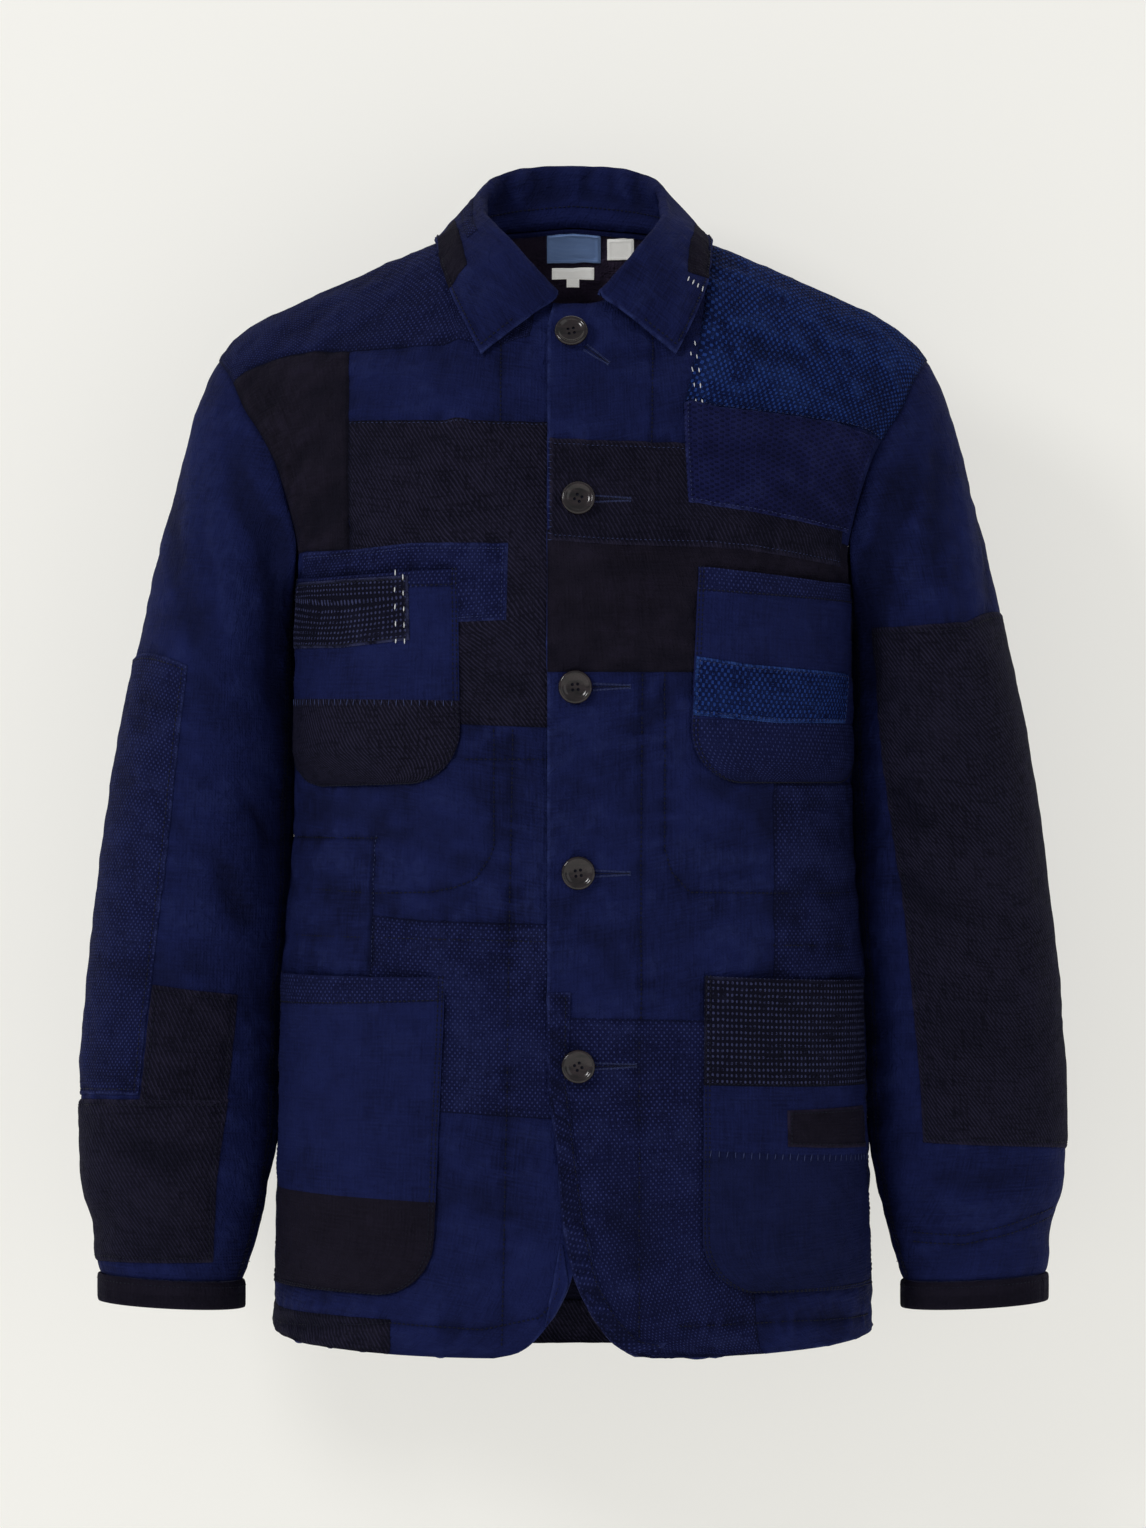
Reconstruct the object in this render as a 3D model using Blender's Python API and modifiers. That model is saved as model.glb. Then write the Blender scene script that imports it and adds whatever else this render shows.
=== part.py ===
"""A patched work jacket in worn, hollow form. Metres, +Z up, the front faces -Y.

The origin is midway between the two points where the collar lies on the shoulder seams.
Left and right are the wearer's, so left is +X. Each piece is a thin wall, and what is sewn
on a panel is cut from that panel's own points, moved out.
"""

import math
from collections import namedtuple

import bmesh
import bpy
import numpy as np

MM = 0.001

# Cloth: the body is quilted patchwork, and what is sewn on it is one layer.
CLOTH = 2.0 * MM
PATCH = 1.0 * MM
POCKET = 1.6 * MM
COLLAR = 1.6 * MM
BINDING = 3.0 * MM
LINING = 0.8 * MM
LABEL = 0.5 * MM
AIR = 0.4 * MM
LINING_AIR = 0.9 * MM

# Body: what a tape would measure on the finished jacket.
ARMPIT_HEIGHT = -235 * MM
SHOULDER_HEIGHT = -76 * MM
SHOULDER_HALF = 232 * MM
HEM_FRONT, HEM_SIDE, HEM_BACK = -715 * MM, -705 * MM, -731 * MM
NECK_HALF, NECK_FRONT, NECK_BACK = 74 * MM, 82 * MM, 53 * MM
NECK_FRONT_HEIGHT = -45 * MM
HEM_CURVE_FRONT, HEM_CURVE_BACK = 2.0, 2.5
SHOULDER_ROUND_FRONT, SHOULDER_ROUND_BACK = 130 * MM, 110 * MM
SQUARENESS = 2.5
LAP_LIFT = CLOTH + 0.9 * MM
LAP_FADE_START, LAP_FADE_END = 20 * MM, 60 * MM
SEAM_HALF_GAP = 0.15 * MM

# Fineness of the faceted cloth, and of the lines that it is measured along.
FRONT_COLUMNS, BACK_COLUMNS = 11, 8
LOWER_ROWS, UPPER_ROWS = 11, 9
NECK_SHARE = 0.42
UPPER_SPACING = 1.5
SLEEVE_COLUMNS, SLEEVE_ROWS = 14, 14
COLLAR_STATIONS = 24
ARC_STEPS = 5
LINE_SAMPLES = 200
HALVINGS = 24
WELD = 1e-6

Section = namedtuple("Section", "height half_width front_depth back_depth")
BODY = (
    Section(-735, 195.5, 131, 116),
    Section(-650, 194.5, 131, 114),
    Section(-560, 192, 130, 111),
    Section(-475, 190, 129.5, 108.5),
    Section(-429, 185.5, 130, 108),
    Section(-383, 182.5, 131, 110),
    Section(-300, 181.8, 133, 115),
    Section(-235, 182.3, 134, 118),
    Section(-206, 190.5, 132, 118),
    Section(-164, 207.5, 126, 116.5),
    Section(-110, 238, 110.5, 110),
    Section(-76, 262, 98, 106),
    Section(-45, 280, 88, 103),
    Section(0, 292, 75, 98),
    Section(40, 300, 62, 92),
)

Ridge = namedtuple("Ridge", "half_width height")
SHOULDER_LINE = (
    Ridge(0, 38), Ridge(40, 25), Ridge(74, 7), Ridge(91, 0), Ridge(128, -15.7),
    Ridge(173, -36), Ridge(201, -49), Ridge(220, -62), Ridge(232, -76), Ridge(250, -110),
)

Edge = namedtuple("Edge", "height half_width")
ARMHOLE_FRONT = (
    Edge(-235, 182.3), Edge(-228, 180), Edge(-220, 178), Edge(-206, 177), Edge(-194, 178.6),
    Edge(-164, 186), Edge(-145, 192.5), Edge(-132, 199), Edge(-110, 213), Edge(-90, 222),
    Edge(-76, 232),
)
ARMHOLE_BACK = (
    Edge(-235, 182.3), Edge(-220, 180), Edge(-206, 181), Edge(-190, 184), Edge(-164, 190),
    Edge(-145, 196), Edge(-110, 214), Edge(-90, 223), Edge(-76, 232),
)
# The front edge laps past the centre line, and turns away in a round corner at the hem.
FRONT_EDGE = (
    Edge(-715, 50), Edge(-712, 36), Edge(-701, 21.6), Edge(-679, 7.1), Edge(-658, -1.1),
    Edge(-629, -6.7), Edge(-581, -10.5), Edge(-540, -15.6), Edge(-484, -16.2),
    Edge(-63, -16.2), Edge(-45, -12.6),
)

# Sleeve: each ring runs from the outer line of the arm to the inner one.
Ring = namedtuple("Ring", "outer_x outer_z inner_x inner_z depth middle_y")
SLEEVE = (
    Ring(232, -76, 182.5, -235, 146, 0),
    Ring(242, -96, 184.5, -248, 147, 0),
    Ring(256, -144, 185, -275, 146, 0),
    Ring(270, -200, 185, -308, 143, -1),
    Ring(284, -262, 185, -345, 139, -2),
    Ring(297, -325, 185.5, -385, 134, -3),
    Ring(308, -400, 188.5, -435, 128, -4),
    Ring(317, -480, 193.8, -497, 120, -6),
    Ring(322, -560, 195.5, -568, 109, -8),
    Ring(320.5, -610, 199, -613, 97, -10),
    Ring(314, -642, 206, -646, 86, -12),
    Ring(309, -671, 215, -676, 75, -12),
)
SLEEVE_START = 0.006
# Each sleeve is cut in two, a top and an under sleeve. The seams' places are shares of the way
# round the arm: 0 outside, 0.25 front, 0.5 inside.
SLEEVE_SEAM_FRONT, SLEEVE_SEAM_BACK = 6.5 / 14, 13 / 14
SLEEVE_SEAM_GAP = 0.0005
ARMHOLE_FADE = 0.3
CUFF_HEIGHT = 18 * MM
CUFF_PROUD = 1.2 * MM
CUFF_GAP = 0.4 * MM

# The largest folds of each sleeve: a soft trough with its middle at this angle round the arm
# (0 outside, 90 front, 180 inside, 270 back) and this share of the arm's length.
Trough = namedtuple("Trough", "round_arm down_arm half_angle half_length depth")
SLEEVE_TROUGHS = (
    Trough(128, 0.14, 30, 0.16, 7),
    Trough(232, 0.16, 32, 0.15, 7),
    Trough(150, 0.44, 34, 0.07, 4),
    Trough(20, 0.90, 40, 0.05, 3),
    Trough(300, 0.62, 34, 0.08, 4),
)
# Soft flutes that the body falls into towards the hem.
Flute = namedtuple("Flute", "x half_width depth")
BACK_FLUTES = (Flute(52, 34, 4.5), Flute(122, 30, 4), Flute(172, 20, 3))
FLUTE_TOP, FLUTE_FULL = -330 * MM, -640 * MM

# Collar: the seam (degrees round the neck), the fold and the outer edge at stations from the
# front end to the centre back.
Station = namedtuple("Station", "seam_angle fold_x fold_y fold_z edge_x edge_y edge_z")
COLLAR_PLAN = (
    Station(13.7, 14, -85, -38.5, 62, -94, -79),
    Station(24, 27, -80, -24, 72, -85, -58),
    Station(38, 42, -68, -6, 81, -68, -37),
    Station(56, 54, -47, 9, 87, -45, -16),
    Station(75, 60, -20, 20, 89.5, -17, 0),
    Station(97, 60, 10, 33, 90, 12, 1),
    Station(120, 54, 37, 46, 82, 48, -9),
    Station(143, 38, 55, 54, 58, 72, -8),
    Station(162, 20, 62, 57, 30, 79, -6),
    Station(180, 0, 64.5, 57.5, 0, 81, -5),
)
COLLAR_FRONT_SHIFT = 3.5 * MM
COLLAR_SEAM_IN, COLLAR_SEAM_UP = 2.2 * MM, 2.6 * MM
FOLD_RADIUS = 2.5 * MM
LEAF_CLEAR = COLLAR + 1.9 * MM
LEAF_ROLL = 2.5 * MM
LEAF_SHARES = (0.25, 0.5, 0.75, 1.0)
COLLAR_ROWS = 4 + len(LEAF_SHARES)
RIDGE_REACH = 40 * MM

# Sewn-on pieces: corners (x, z) in mm seen from the front, each with the radius of its round.
Corner = namedtuple("Corner", "x z radius", defaults=(0,))
CHEST_RIGHT = (Corner(-72.5, -217), Corner(-71, -351.5, 34), Corner(-181, -355, 22),
               Corner(-177.5, -221.5))
CHEST_LEFT = (Corner(79, -215.5), Corner(178.5, -225), Corner(181, -352, 12), Corner(73, -352, 33))
HIP_RIGHT = (Corner(-80.5, -475), Corner(-89.5, -677, 36), Corner(-191.5, -675), Corner(-188, -475))
HIP_LEFT = (Corner(83, -474), Corner(186.5, -479.5), Corner(192, -677), Corner(81.5, -674, 35))
RIBBED_LEFT = (Corner(70.5, -111), Corner(130, -117), Corner(169, -122), Corner(194.5, -131.5),
               Corner(184.5, -155), Corner(175, -192), Corner(150, -187), Corner(115, -180.5),
               Corner(73, -175))
BAND_LEFT = (Corner(-14.8, -134), Corner(70, -137), Corner(72, -171), Corner(115, -176.5),
             Corner(150, -183), Corner(173, -188), Corner(171, -213.6), Corner(149, -210),
             Corner(112, -204.8), Corner(80, -203), Corner(30, -202), Corner(-14.8, -199))
DOTTED_RIGHT = (Corner(-173.5, -207.5), Corner(-173, -229), Corner(-78, -225),
                Corner(-77.5, -250.5), Corner(-42, -249.3), Corner(-40.8, -200.6),
                Corner(-102, -200.2), Corner(-135, -203.4))
POCKET_RICE = (Corner(-174.5, -223), Corner(-177.5, -265.5), Corner(-147, -266),
               Corner(-102.3, -261.6), Corner(-101, -240), Corner(-102.3, -221))
POCKET_STRIP = (Corner(77.5, -272), Corner(111.6, -277), Corner(175, -282), Corner(172.5, -313.8),
                Corner(129, -314), Corner(75.5, -309))
HIP_RICE = (Corner(84, -475.5), Corner(184.5, -481), Corner(186.5, -547), Corner(83.3, -543))
EDGE_BAND = (Corner(-30, -484), Corner(-30, -735), Corner(59.5, -735), Corner(59.5, -703.6),
             Corner(42.4, -703.4), Corner(28, -689), Corner(16.6, -668), Corner(8, -629),
             Corner(2.1, -589), Corner(-2.8, -540), Corner(-1.1, -484))
SLEEVE_LEFT_PATCH = (Corner(191, -253), Corner(253, -249), Corner(340, -250), Corner(345, -592),
                     Corner(277, -586), Corner(226, -584), Corner(224, -545), Corner(214, -439),
                     Corner(203, -363))
SLEEVE_RIGHT_LONG = (Corner(-247.5, -277), Corner(-252.5, -318), Corner(-262, -408),
                     Corner(-276, -516), Corner(-280, -553), Corner(-340, -557),
                     Corner(-340, -279))
SLEEVE_RIGHT_LOW = (Corner(-271, -482), Corner(-216, -489), Corner(-222, -541),
                    Corner(-229.5, -605), Corner(-233, -662), Corner(-340, -662),
                    Corner(-340, -560), Corner(-279, -556), Corner(-274.5, -516))
LINING_NECK = (Corner(-70, 30), Corner(-76, -80, 20), Corner(76, -80, 20), Corner(70, 30))
HEM_FACING = (Corner(-118, -702), Corner(-118, -728), Corner(118, -728), Corner(118, -702))
LABEL_MAIN = (Corner(-18, 16.2), Corner(-18, -2.8), Corner(19, -2.8), Corner(19, 16.2))
LABEL_SIDE = (Corner(23.5, 11.5), Corner(23.5, -1.5), Corner(41.5, -1.5), Corner(41.5, 11.5))
LABEL_LOW = (Corner(-14.5, -6.2), Corner(-14.5, -13.4), Corner(-4.4, -13.4), Corner(-4.4, -18.6),
             Corner(4.3, -18.6), Corner(4.3, -13.4), Corner(14.5, -13.4), Corner(14.5, -6.2))

# How far along Y (mm) an outline is cut through: the body's front, the arm's front, the back.
FRONT_REACH, ARM_REACH, BACK_REACH = (-260, -0.4), (-260, 4), (5, 200)
ON_PANEL = AIR
ON_PATCH = ON_PANEL + PATCH + AIR
ON_POCKET = ON_PATCH + POCKET + AIR
ON_BACK = CLOTH + LINING_AIR
ON_LINING = ON_BACK + LINING + LINING_AIR

# Buttons: turned discs with a raised rim and four holes. The profile runs from the middle of
# the front, over the rim, to the middle of the back.
Turned = namedtuple("Turned", "radius height")
BUTTON_PROFILE = (
    Turned(0, 2.1), Turned(8.5, 2.1), Turned(9.5, 3.4), Turned(10.25, 3.2), Turned(10.7, 2.0),
    Turned(9.95, 0.4), Turned(8.55, 0), Turned(0, 0),
)
BUTTON_HOLE_RADIUS, BUTTON_HOLE_APART, BUTTON_DRILL = 1.0 * MM, 3.4 * MM, 12 * MM
BUTTON_SEAT, BUTTON_SEAT_REACH = 0.5 * MM, 9 * MM
BUTTON_SIDES, BUTTON_HOLE_SIDES = 16, 6
Button = namedtuple("Button", "x z turn_deg layers")
BUTTONS = (
    Button(-1.1, -65.1, 12, 0),
    Button(3.3, -172.7, 60, 1),
    Button(1.4, -291.5, 5, 0),
    Button(3.3, -408.7, 8, 0),
    Button(3.3, -530.5, 30, 1),
)

Finish = namedtuple("Finish", "colour roughness")
FINISHES = {
    "indigo_plain": Finish("#141a3d", 0.85),
    "indigo_dotted": Finish("#171a37", 0.88),
    "indigo_bright": Finish("#101d45", 0.85),
    "indigo_dark_twill": Finish("#161424", 0.86),
    "indigo_rice": Finish("#151728", 0.88),
    "indigo_ribbed": Finish("#131632", 0.88),
    "lining_dark": Finish("#131327", 0.9),
    "horn_brown": Finish("#241c20", 0.25),
    "label_slate": Finish("#6d86b0", 0.8),
    "label_white": Finish("#e8e6e0", 0.8),
}


# --- Curves and the form of the body -------------------------------------------------------


def through(places, values):
    """A smooth curve through the points that never overshoots them."""
    xs, ys = np.array(places, float), np.array(values, float)
    step = np.diff(xs)
    rise = np.diff(ys) / step
    slope = np.empty(len(xs))
    slope[0], slope[-1] = rise[0], rise[-1]
    before, after = 2 * step[1:] + step[:-1], step[1:] + 2 * step[:-1]
    for i, (first, second) in enumerate(zip(rise[:-1], rise[1:])):
        turns = first * second <= 0
        weights = (before[i] + after[i]) if turns else before[i] / first + after[i] / second
        slope[i + 1] = 0 if turns else (before[i] + after[i]) / weights

    def at(x):
        x = np.clip(x, xs[0], xs[-1])
        i = np.clip(np.searchsorted(xs, x) - 1, 0, len(step) - 1)
        t = (x - xs[i]) / step[i]
        left = (1 + 2 * t) * ys[i] + t * step[i] * slope[i]
        right = (3 - 2 * t) * ys[i + 1] + (t - 1) * step[i] * slope[i + 1]
        return (1 - t) ** 2 * left + t**2 * right

    return at


def column(table, place, value):
    """The curve of one column of a table against another, in metres."""
    places = [getattr(row, place) * MM for row in table]
    return through(places, [getattr(row, value) * MM for row in table])


def down_the_table(table, unit):
    """A curve for each column, against the share of the way down the table."""
    places = np.linspace(0, 1, len(table))
    return {
        name: through(places, [getattr(row, name) * unit for row in table])
        for name in table[0]._fields
    }


half_width = column(BODY, "height", "half_width")
front_depth = column(BODY, "height", "front_depth")
back_depth = column(BODY, "height", "back_depth")
shoulder_line = column(SHOULDER_LINE, "half_width", "height")
armhole_front = column(ARMHOLE_FRONT, "height", "half_width")
armhole_back = column(ARMHOLE_BACK, "height", "half_width")
front_edge = column(FRONT_EDGE, "height", "half_width")


def fade(x, start, end):
    """0 at start, 1 at end, smooth at both."""
    t = np.clip((x - start) / (end - start), 0, 1)
    return t * t * (3 - 2 * t)


def fullness(x, z):
    """How much of the depth is left at x: 1 in the middle, 0 at the side seam."""
    share = np.minimum(np.abs(x) / half_width(z), 1)
    return (1 - share**SQUARENESS) ** (1 / SQUARENESS)


def over_shoulder(drop, reach):
    """The quarter round by which the cloth comes over the shoulder line."""
    return np.sqrt(1 - (1 - np.clip(drop / reach, 0, 1)) ** 2)


def flutes(x, z):
    """How far the back falls in at its flutes."""
    depth = 0.0
    for flute in BACK_FLUTES:
        away = (np.abs(x) / MM - flute.x) / flute.half_width
        depth = depth + flute.depth * MM * np.exp(-(away**2))
    return depth * fade(-z, -FLUTE_TOP, -FLUTE_FULL)


def front_y(x, z):
    drop = shoulder_line(np.abs(x)) - z
    return -front_depth(z) * fullness(x, z) * over_shoulder(drop, SHOULDER_ROUND_FRONT)


def back_y(x, z):
    drop = shoulder_line(np.abs(x)) - z
    depth = back_depth(z) - flutes(x, z)
    return depth * fullness(x, z) * over_shoulder(drop, SHOULDER_ROUND_BACK)


def along(points, share):
    """The point at this share of a dense line's length."""
    steps = np.linalg.norm(np.diff(points, axis=0), axis=1)
    length = np.concatenate([[0], np.cumsum(steps)])
    return np.array([np.interp(share * length[-1], length, points[:, i]) for i in range(3)])


def row_point(surface_y, z, start, share):
    """A point at this share of the cloth between x = start and the side seam, at height z."""
    dense = np.linspace(0, 1, LINE_SAMPLES)
    x = start + (half_width(z) - start) * np.sin(dense * math.pi / 2)
    return along(np.column_stack([x, surface_y(x, z), np.full_like(x, z)]), share)


def neckline(angle, front):
    """The neck seam at this angle: 0 at the centre, 90 degrees at the shoulder seam."""
    x = NECK_HALF * math.sin(angle)
    plan = (NECK_FRONT if front else NECK_BACK) * math.cos(angle)
    surface_y = front_y if front else back_y
    top = float(shoulder_line(abs(x)))
    bottom = top - (SHOULDER_ROUND_FRONT if front else SHOULDER_ROUND_BACK)
    for _ in range(HALVINGS):
        z = (top + bottom) / 2
        if abs(float(surface_y(x, z))) < plan:
            top = z
        else:
            bottom = z
    return np.array([x, -plan if front else plan, (top + bottom) / 2])


def armhole(share, front):
    """The armhole seam: share 0 at the armpit, 1 at the shoulder point."""
    dense = np.linspace(0, 1, LINE_SAMPLES) ** 2
    z = ARMPIT_HEIGHT + (SHOULDER_HEIGHT - ARMPIT_HEIGHT) * dense
    x = armhole_front(z) if front else armhole_back(z)
    x[0], x[-1] = half_width(ARMPIT_HEIGHT), SHOULDER_HALF
    y = front_y(x, z) if front else back_y(x, z)
    return along(np.column_stack([x, y, z]), share)


def top_point(share, start_angle, front):
    """The panel's top edge: the neck seam, then the shoulder seam."""
    if share <= NECK_SHARE:
        quarter = math.pi / 2
        return neckline(start_angle + (quarter - start_angle) * share / NECK_SHARE, front)
    t = (share - NECK_SHARE) / (1 - NECK_SHARE)
    x = np.linspace(NECK_HALF, SHOULDER_HALF, LINE_SAMPLES)
    return along(np.column_stack([x, np.zeros_like(x), shoulder_line(x)]), t)


def body_point(u, v, front):
    """The panel from its centre edge (u = 0) to the side, and from the hem (v = 0) up."""
    surface_y = front_y if front else back_y
    split = LOWER_ROWS / (LOWER_ROWS + UPPER_ROWS)
    start = front_edge if front else (lambda z: 0.0)
    if v <= split:
        down = math.sin((1 - v / split) * math.pi / 2)
        middle, curve = (HEM_FRONT, HEM_CURVE_FRONT) if front else (HEM_BACK, HEM_CURVE_BACK)
        hem = middle + (HEM_SIDE - middle) * u**curve
        z = ARMPIT_HEIGHT + (hem - ARMPIT_HEIGHT) * down
        return row_point(surface_y, z, float(start(z)), u)
    # Above the armpit the panel fills the space between its four edges.
    up = 1 - (1 - (v - split) / (1 - split)) ** UPPER_SPACING
    start_angle = math.asin(float(start(NECK_FRONT_HEIGHT)) / NECK_HALF)
    low = row_point(surface_y, ARMPIT_HEIGHT, float(start(ARMPIT_HEIGHT)), u)
    high = top_point(u, start_angle, front)
    first, last = top_point(0, start_angle, front), top_point(1, start_angle, front)
    edge_z = ARMPIT_HEIGHT + (first[2] - ARMPIT_HEIGHT) * up
    inner = np.array([float(start(edge_z)), 0, edge_z])
    outer = armhole(up, front)
    corners = (
        (1 - u) * (1 - up) * np.array([float(start(ARMPIT_HEIGHT)), 0, ARMPIT_HEIGHT])
        + u * (1 - up) * armhole(0, front)
        + (1 - u) * up * first
        + u * up * last
    )
    x, _, z = (1 - up) * low + up * high + (1 - u) * inner + u * outer - corners
    return np.array([x, float(surface_y(x, z)), z])


def lap_lift(x):
    """The left front lies over the right one, so it stands proud near the centre."""
    return LAP_LIFT * (1 - fade(x, LAP_FADE_START, LAP_FADE_END))


def front_left_point(u, v):
    x, y, z = body_point(u, v, front=True)
    return x, min(y - float(lap_lift(x)), -SEAM_HALF_GAP), z


def front_right_point(u, v):
    x, y, z = body_point(u, v, front=True)
    return -x, min(y, -SEAM_HALF_GAP), z


def back_point(u, v):
    x, y, z = body_point(u, v, front=False)
    return x, max(y, SEAM_HALF_GAP), z


# --- The form of the sleeves and the collar --------------------------------------------------


sleeve_line = down_the_table(SLEEVE, MM)
collar_line = down_the_table(COLLAR_PLAN, 1)


def ring_point(angle, share):
    """The plain tube of the sleeve: an oval between the outer and the inner line of the arm."""
    at = {name: float(line(share)) for name, line in sleeve_line.items()}
    middle = np.array([(at["outer_x"] + at["inner_x"]) / 2, at["middle_y"],
                       (at["outer_z"] + at["inner_z"]) / 2])
    across = np.array([(at["outer_x"] - at["inner_x"]) / 2, 0,
                       (at["outer_z"] - at["inner_z"]) / 2])
    forward = np.array([0, -at["depth"] / 2, 0])
    return middle + math.cos(angle) * across + math.sin(angle) * forward


def armhole_loop(angle):
    """The armhole at this angle round the arm: 0 at the shoulder point, 180 degrees below."""
    turn = angle % (2 * math.pi)
    front = turn <= math.pi
    share = 1 - turn / math.pi if front else turn / math.pi - 1
    return armhole(share, front)


def trough_depth(angle, share):
    """How far the sleeve falls in at its largest folds."""
    depth = 0.0
    for trough in SLEEVE_TROUGHS:
        away = (math.degrees(angle) - trough.round_arm + 180) % 360 - 180
        across, down = away / trough.half_angle, (share - trough.down_arm) / trough.half_length
        depth += trough.depth * MM * math.exp(-(across**2) - down**2)
    return depth


def sleeve_point(u, v, depth=0.0):
    """The sleeve round the arm (u) and from the cuff end (v = 0) up to the armhole (v = 1).

    Depth is how far in from the outer face the point lies."""
    angle = 2 * math.pi * u
    share = SLEEVE_START + (1 - SLEEVE_START) * (1 - v)
    point = ring_point(angle, share)
    hold = 1 - float(fade(share, 0, ARMHOLE_FADE))
    point = point + (armhole_loop(angle) - ring_point(angle, 0)) * hold
    inward = ring_point(angle + math.pi, share) - ring_point(angle, share)
    inward = inward / np.linalg.norm(inward)
    return point + inward * (trough_depth(angle, share) + depth)


def cuff_point(u, v):
    """The binding goes on from the sleeve's end, a little wider than the sleeve."""
    angle = 2 * math.pi * u
    end, opposite = ring_point(angle, 1.0), ring_point(angle + math.pi, 1.0)
    outward = (end - opposite) / np.linalg.norm(end - opposite)
    down = np.array([0, 0, -1])
    return end + outward * CUFF_PROUD + down * (CUFF_GAP + CUFF_HEIGHT * v)


def clear_of_body(point, side):
    """Moves a point of the collar's leaf out until it clears the body under it."""
    x, y, z = point
    ridge = float(shoulder_line(abs(x)))
    front = y < 0
    surface_y = front_y if front else back_y
    if abs(y) < RIDGE_REACH:
        reach = SHOULDER_ROUND_FRONT if front else SHOULDER_ROUND_BACK
        depth = float((front_depth if front else back_depth)(z) * fullness(x, z))
        top = ridge - reach * (1 - math.sqrt(1 - min(abs(y) / depth, 1) ** 2))
        return np.array([x, y, max(z, top + LEAF_CLEAR)])
    lift = float(lap_lift(x)) if front and side > 0 else 0.0
    out = abs(float(surface_y(x, min(z, ridge)))) + lift + LEAF_CLEAR
    return np.array([x, math.copysign(max(abs(y), out), y), z])


def collar_point(u, v, side):
    """The folded collar from its front end (u = 0) to the centre back, seam (v = 0) to edge."""
    at = {name: float(line(u)) for name, line in collar_line.items()}
    angle = math.radians(at["seam_angle"])
    front = angle <= math.pi / 2
    seam = neckline(angle if front else math.pi - angle, front)
    lift = np.array([0, -float(lap_lift(seam[0])) if front and side > 0 else 0.0, 0])
    fold = np.array([at["fold_x"], at["fold_y"], at["fold_z"]]) * MM + lift
    edge = np.array([at["edge_x"], at["edge_y"], at["edge_z"]]) * MM
    outward = np.array([math.sin(angle), -math.cos(angle), 0])
    seam = seam + lift - outward * COLLAR_SEAM_IN + np.array([0, 0, COLLAR_SEAM_UP])
    low = fold - np.array([0, 0, FOLD_RADIUS])
    inner, outer = low - outward * FOLD_RADIUS, low + outward * FOLD_RADIUS
    line = [seam, (seam + inner) / 2, inner, fold, outer]
    for share in LEAF_SHARES:
        roll = outward * LEAF_ROLL * math.sin(share * math.pi)
        line.append(clear_of_body(outer + (edge - outer) * share + roll, side))
    x, y, z = line[round(v * COLLAR_ROWS)]
    shift = COLLAR_FRONT_SHIFT * min(max(-y / NECK_FRONT, 0), 1)
    return side * x + shift, y, z


def whole_collar(u, v):
    """Both halves of the collar in one run, from the left front end to the right."""
    half = 2 * u
    return collar_point(half, v, 1) if half <= 1 else collar_point(2 - half, v, -1)


# --- Making the pieces ---------------------------------------------------------------------


def linear(hex_colour):
    """An sRGB hex colour as the linear RGBA that a shader takes."""
    parts = [int(hex_colour[i : i + 2], 16) / 255 for i in (1, 3, 5)]
    return [p / 12.92 if p <= 0.04045 else ((p + 0.055) / 1.055) ** 2.4 for p in parts] + [1]


def new_finish(name, finish):
    material = bpy.data.materials.new(name)
    material.use_nodes = True
    shader = material.node_tree.nodes["Principled BSDF"]
    shader.inputs["Base Color"].default_value = linear(finish.colour)
    shader.inputs["Roughness"].default_value = finish.roughness
    shader.inputs["Metallic"].default_value = 0.0
    return material


def new_collection(name):
    collection = bpy.data.collections.new(name)
    bpy.context.scene.collection.children.link(collection)
    return collection


def grid_mesh(name, columns, rows, place, flip=False, tube=False):
    """A grid whose points are moved to place(u, v)."""
    mesh = bpy.data.meshes.new(name)
    sheet = bmesh.new()
    bmesh.ops.create_grid(sheet, x_segments=columns, y_segments=rows, size=1)
    for point in sheet.verts:
        point.co = place((point.co.x + 1) / 2, (point.co.y + 1) / 2)
    if tube:
        bmesh.ops.remove_doubles(sheet, verts=sheet.verts, dist=WELD)
    if flip:
        bmesh.ops.reverse_faces(sheet, faces=sheet.faces)
    bmesh.ops.triangulate(sheet, faces=sheet.faces)
    sheet.to_mesh(mesh)
    sheet.free()
    return mesh


def wall_mesh(name, across, up, place):
    """A wall of cloth with a rim all round. place(u, v, depth) gives its two faces' points."""
    wall = bmesh.new()
    outer, inner = (
        [[wall.verts.new(place(u, v, depth)) for v in up] for u in across] for depth in (0, CLOTH)
    )
    last_u, last_v = len(across) - 1, len(up) - 1
    for i in range(last_u):
        for j in range(last_v):
            for face in (outer, inner):
                corners = (face[i][j], face[i + 1][j], face[i + 1][j + 1], face[i][j + 1])
                wall.faces.new(corners)
    rim = [(i, 0) for i in range(last_u)] + [(last_u, j) for j in range(last_v)]
    rim += [(i, last_v) for i in range(last_u, 0, -1)] + [(0, j) for j in range(last_v, 0, -1)]
    for (i, j), (k, m) in zip(rim, rim[1:] + rim[:1]):
        wall.faces.new((outer[i][j], inner[i][j], inner[k][m], outer[k][m]))
    bmesh.ops.recalc_face_normals(wall, faces=wall.faces)
    bmesh.ops.triangulate(wall, faces=wall.faces)
    mesh = bpy.data.meshes.new(name)
    wall.to_mesh(mesh)
    wall.free()
    return mesh


def new_object(name, mesh, finish):
    piece = bpy.data.objects.new(name, mesh)
    mesh.materials.append(finishes[finish])
    jacket.objects.link(piece)
    return piece


def add_wall(piece, thickness, outwards=False, even=True):
    wall = piece.modifiers.new("Wall", "SOLIDIFY")
    wall.thickness = thickness
    wall.offset = 1 if outwards else -1
    wall.use_even_offset = even


def evaluated_mesh(piece):
    bpy.context.view_layer.update()
    graph = bpy.context.evaluated_depsgraph_get()
    return bpy.data.meshes.new_from_object(piece.evaluated_get(graph))


def apply_modifiers(piece):
    """Replaces the piece's mesh by what its modifiers make of it."""
    made = evaluated_mesh(piece)
    piece.modifiers.clear()
    piece.data = made


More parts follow.
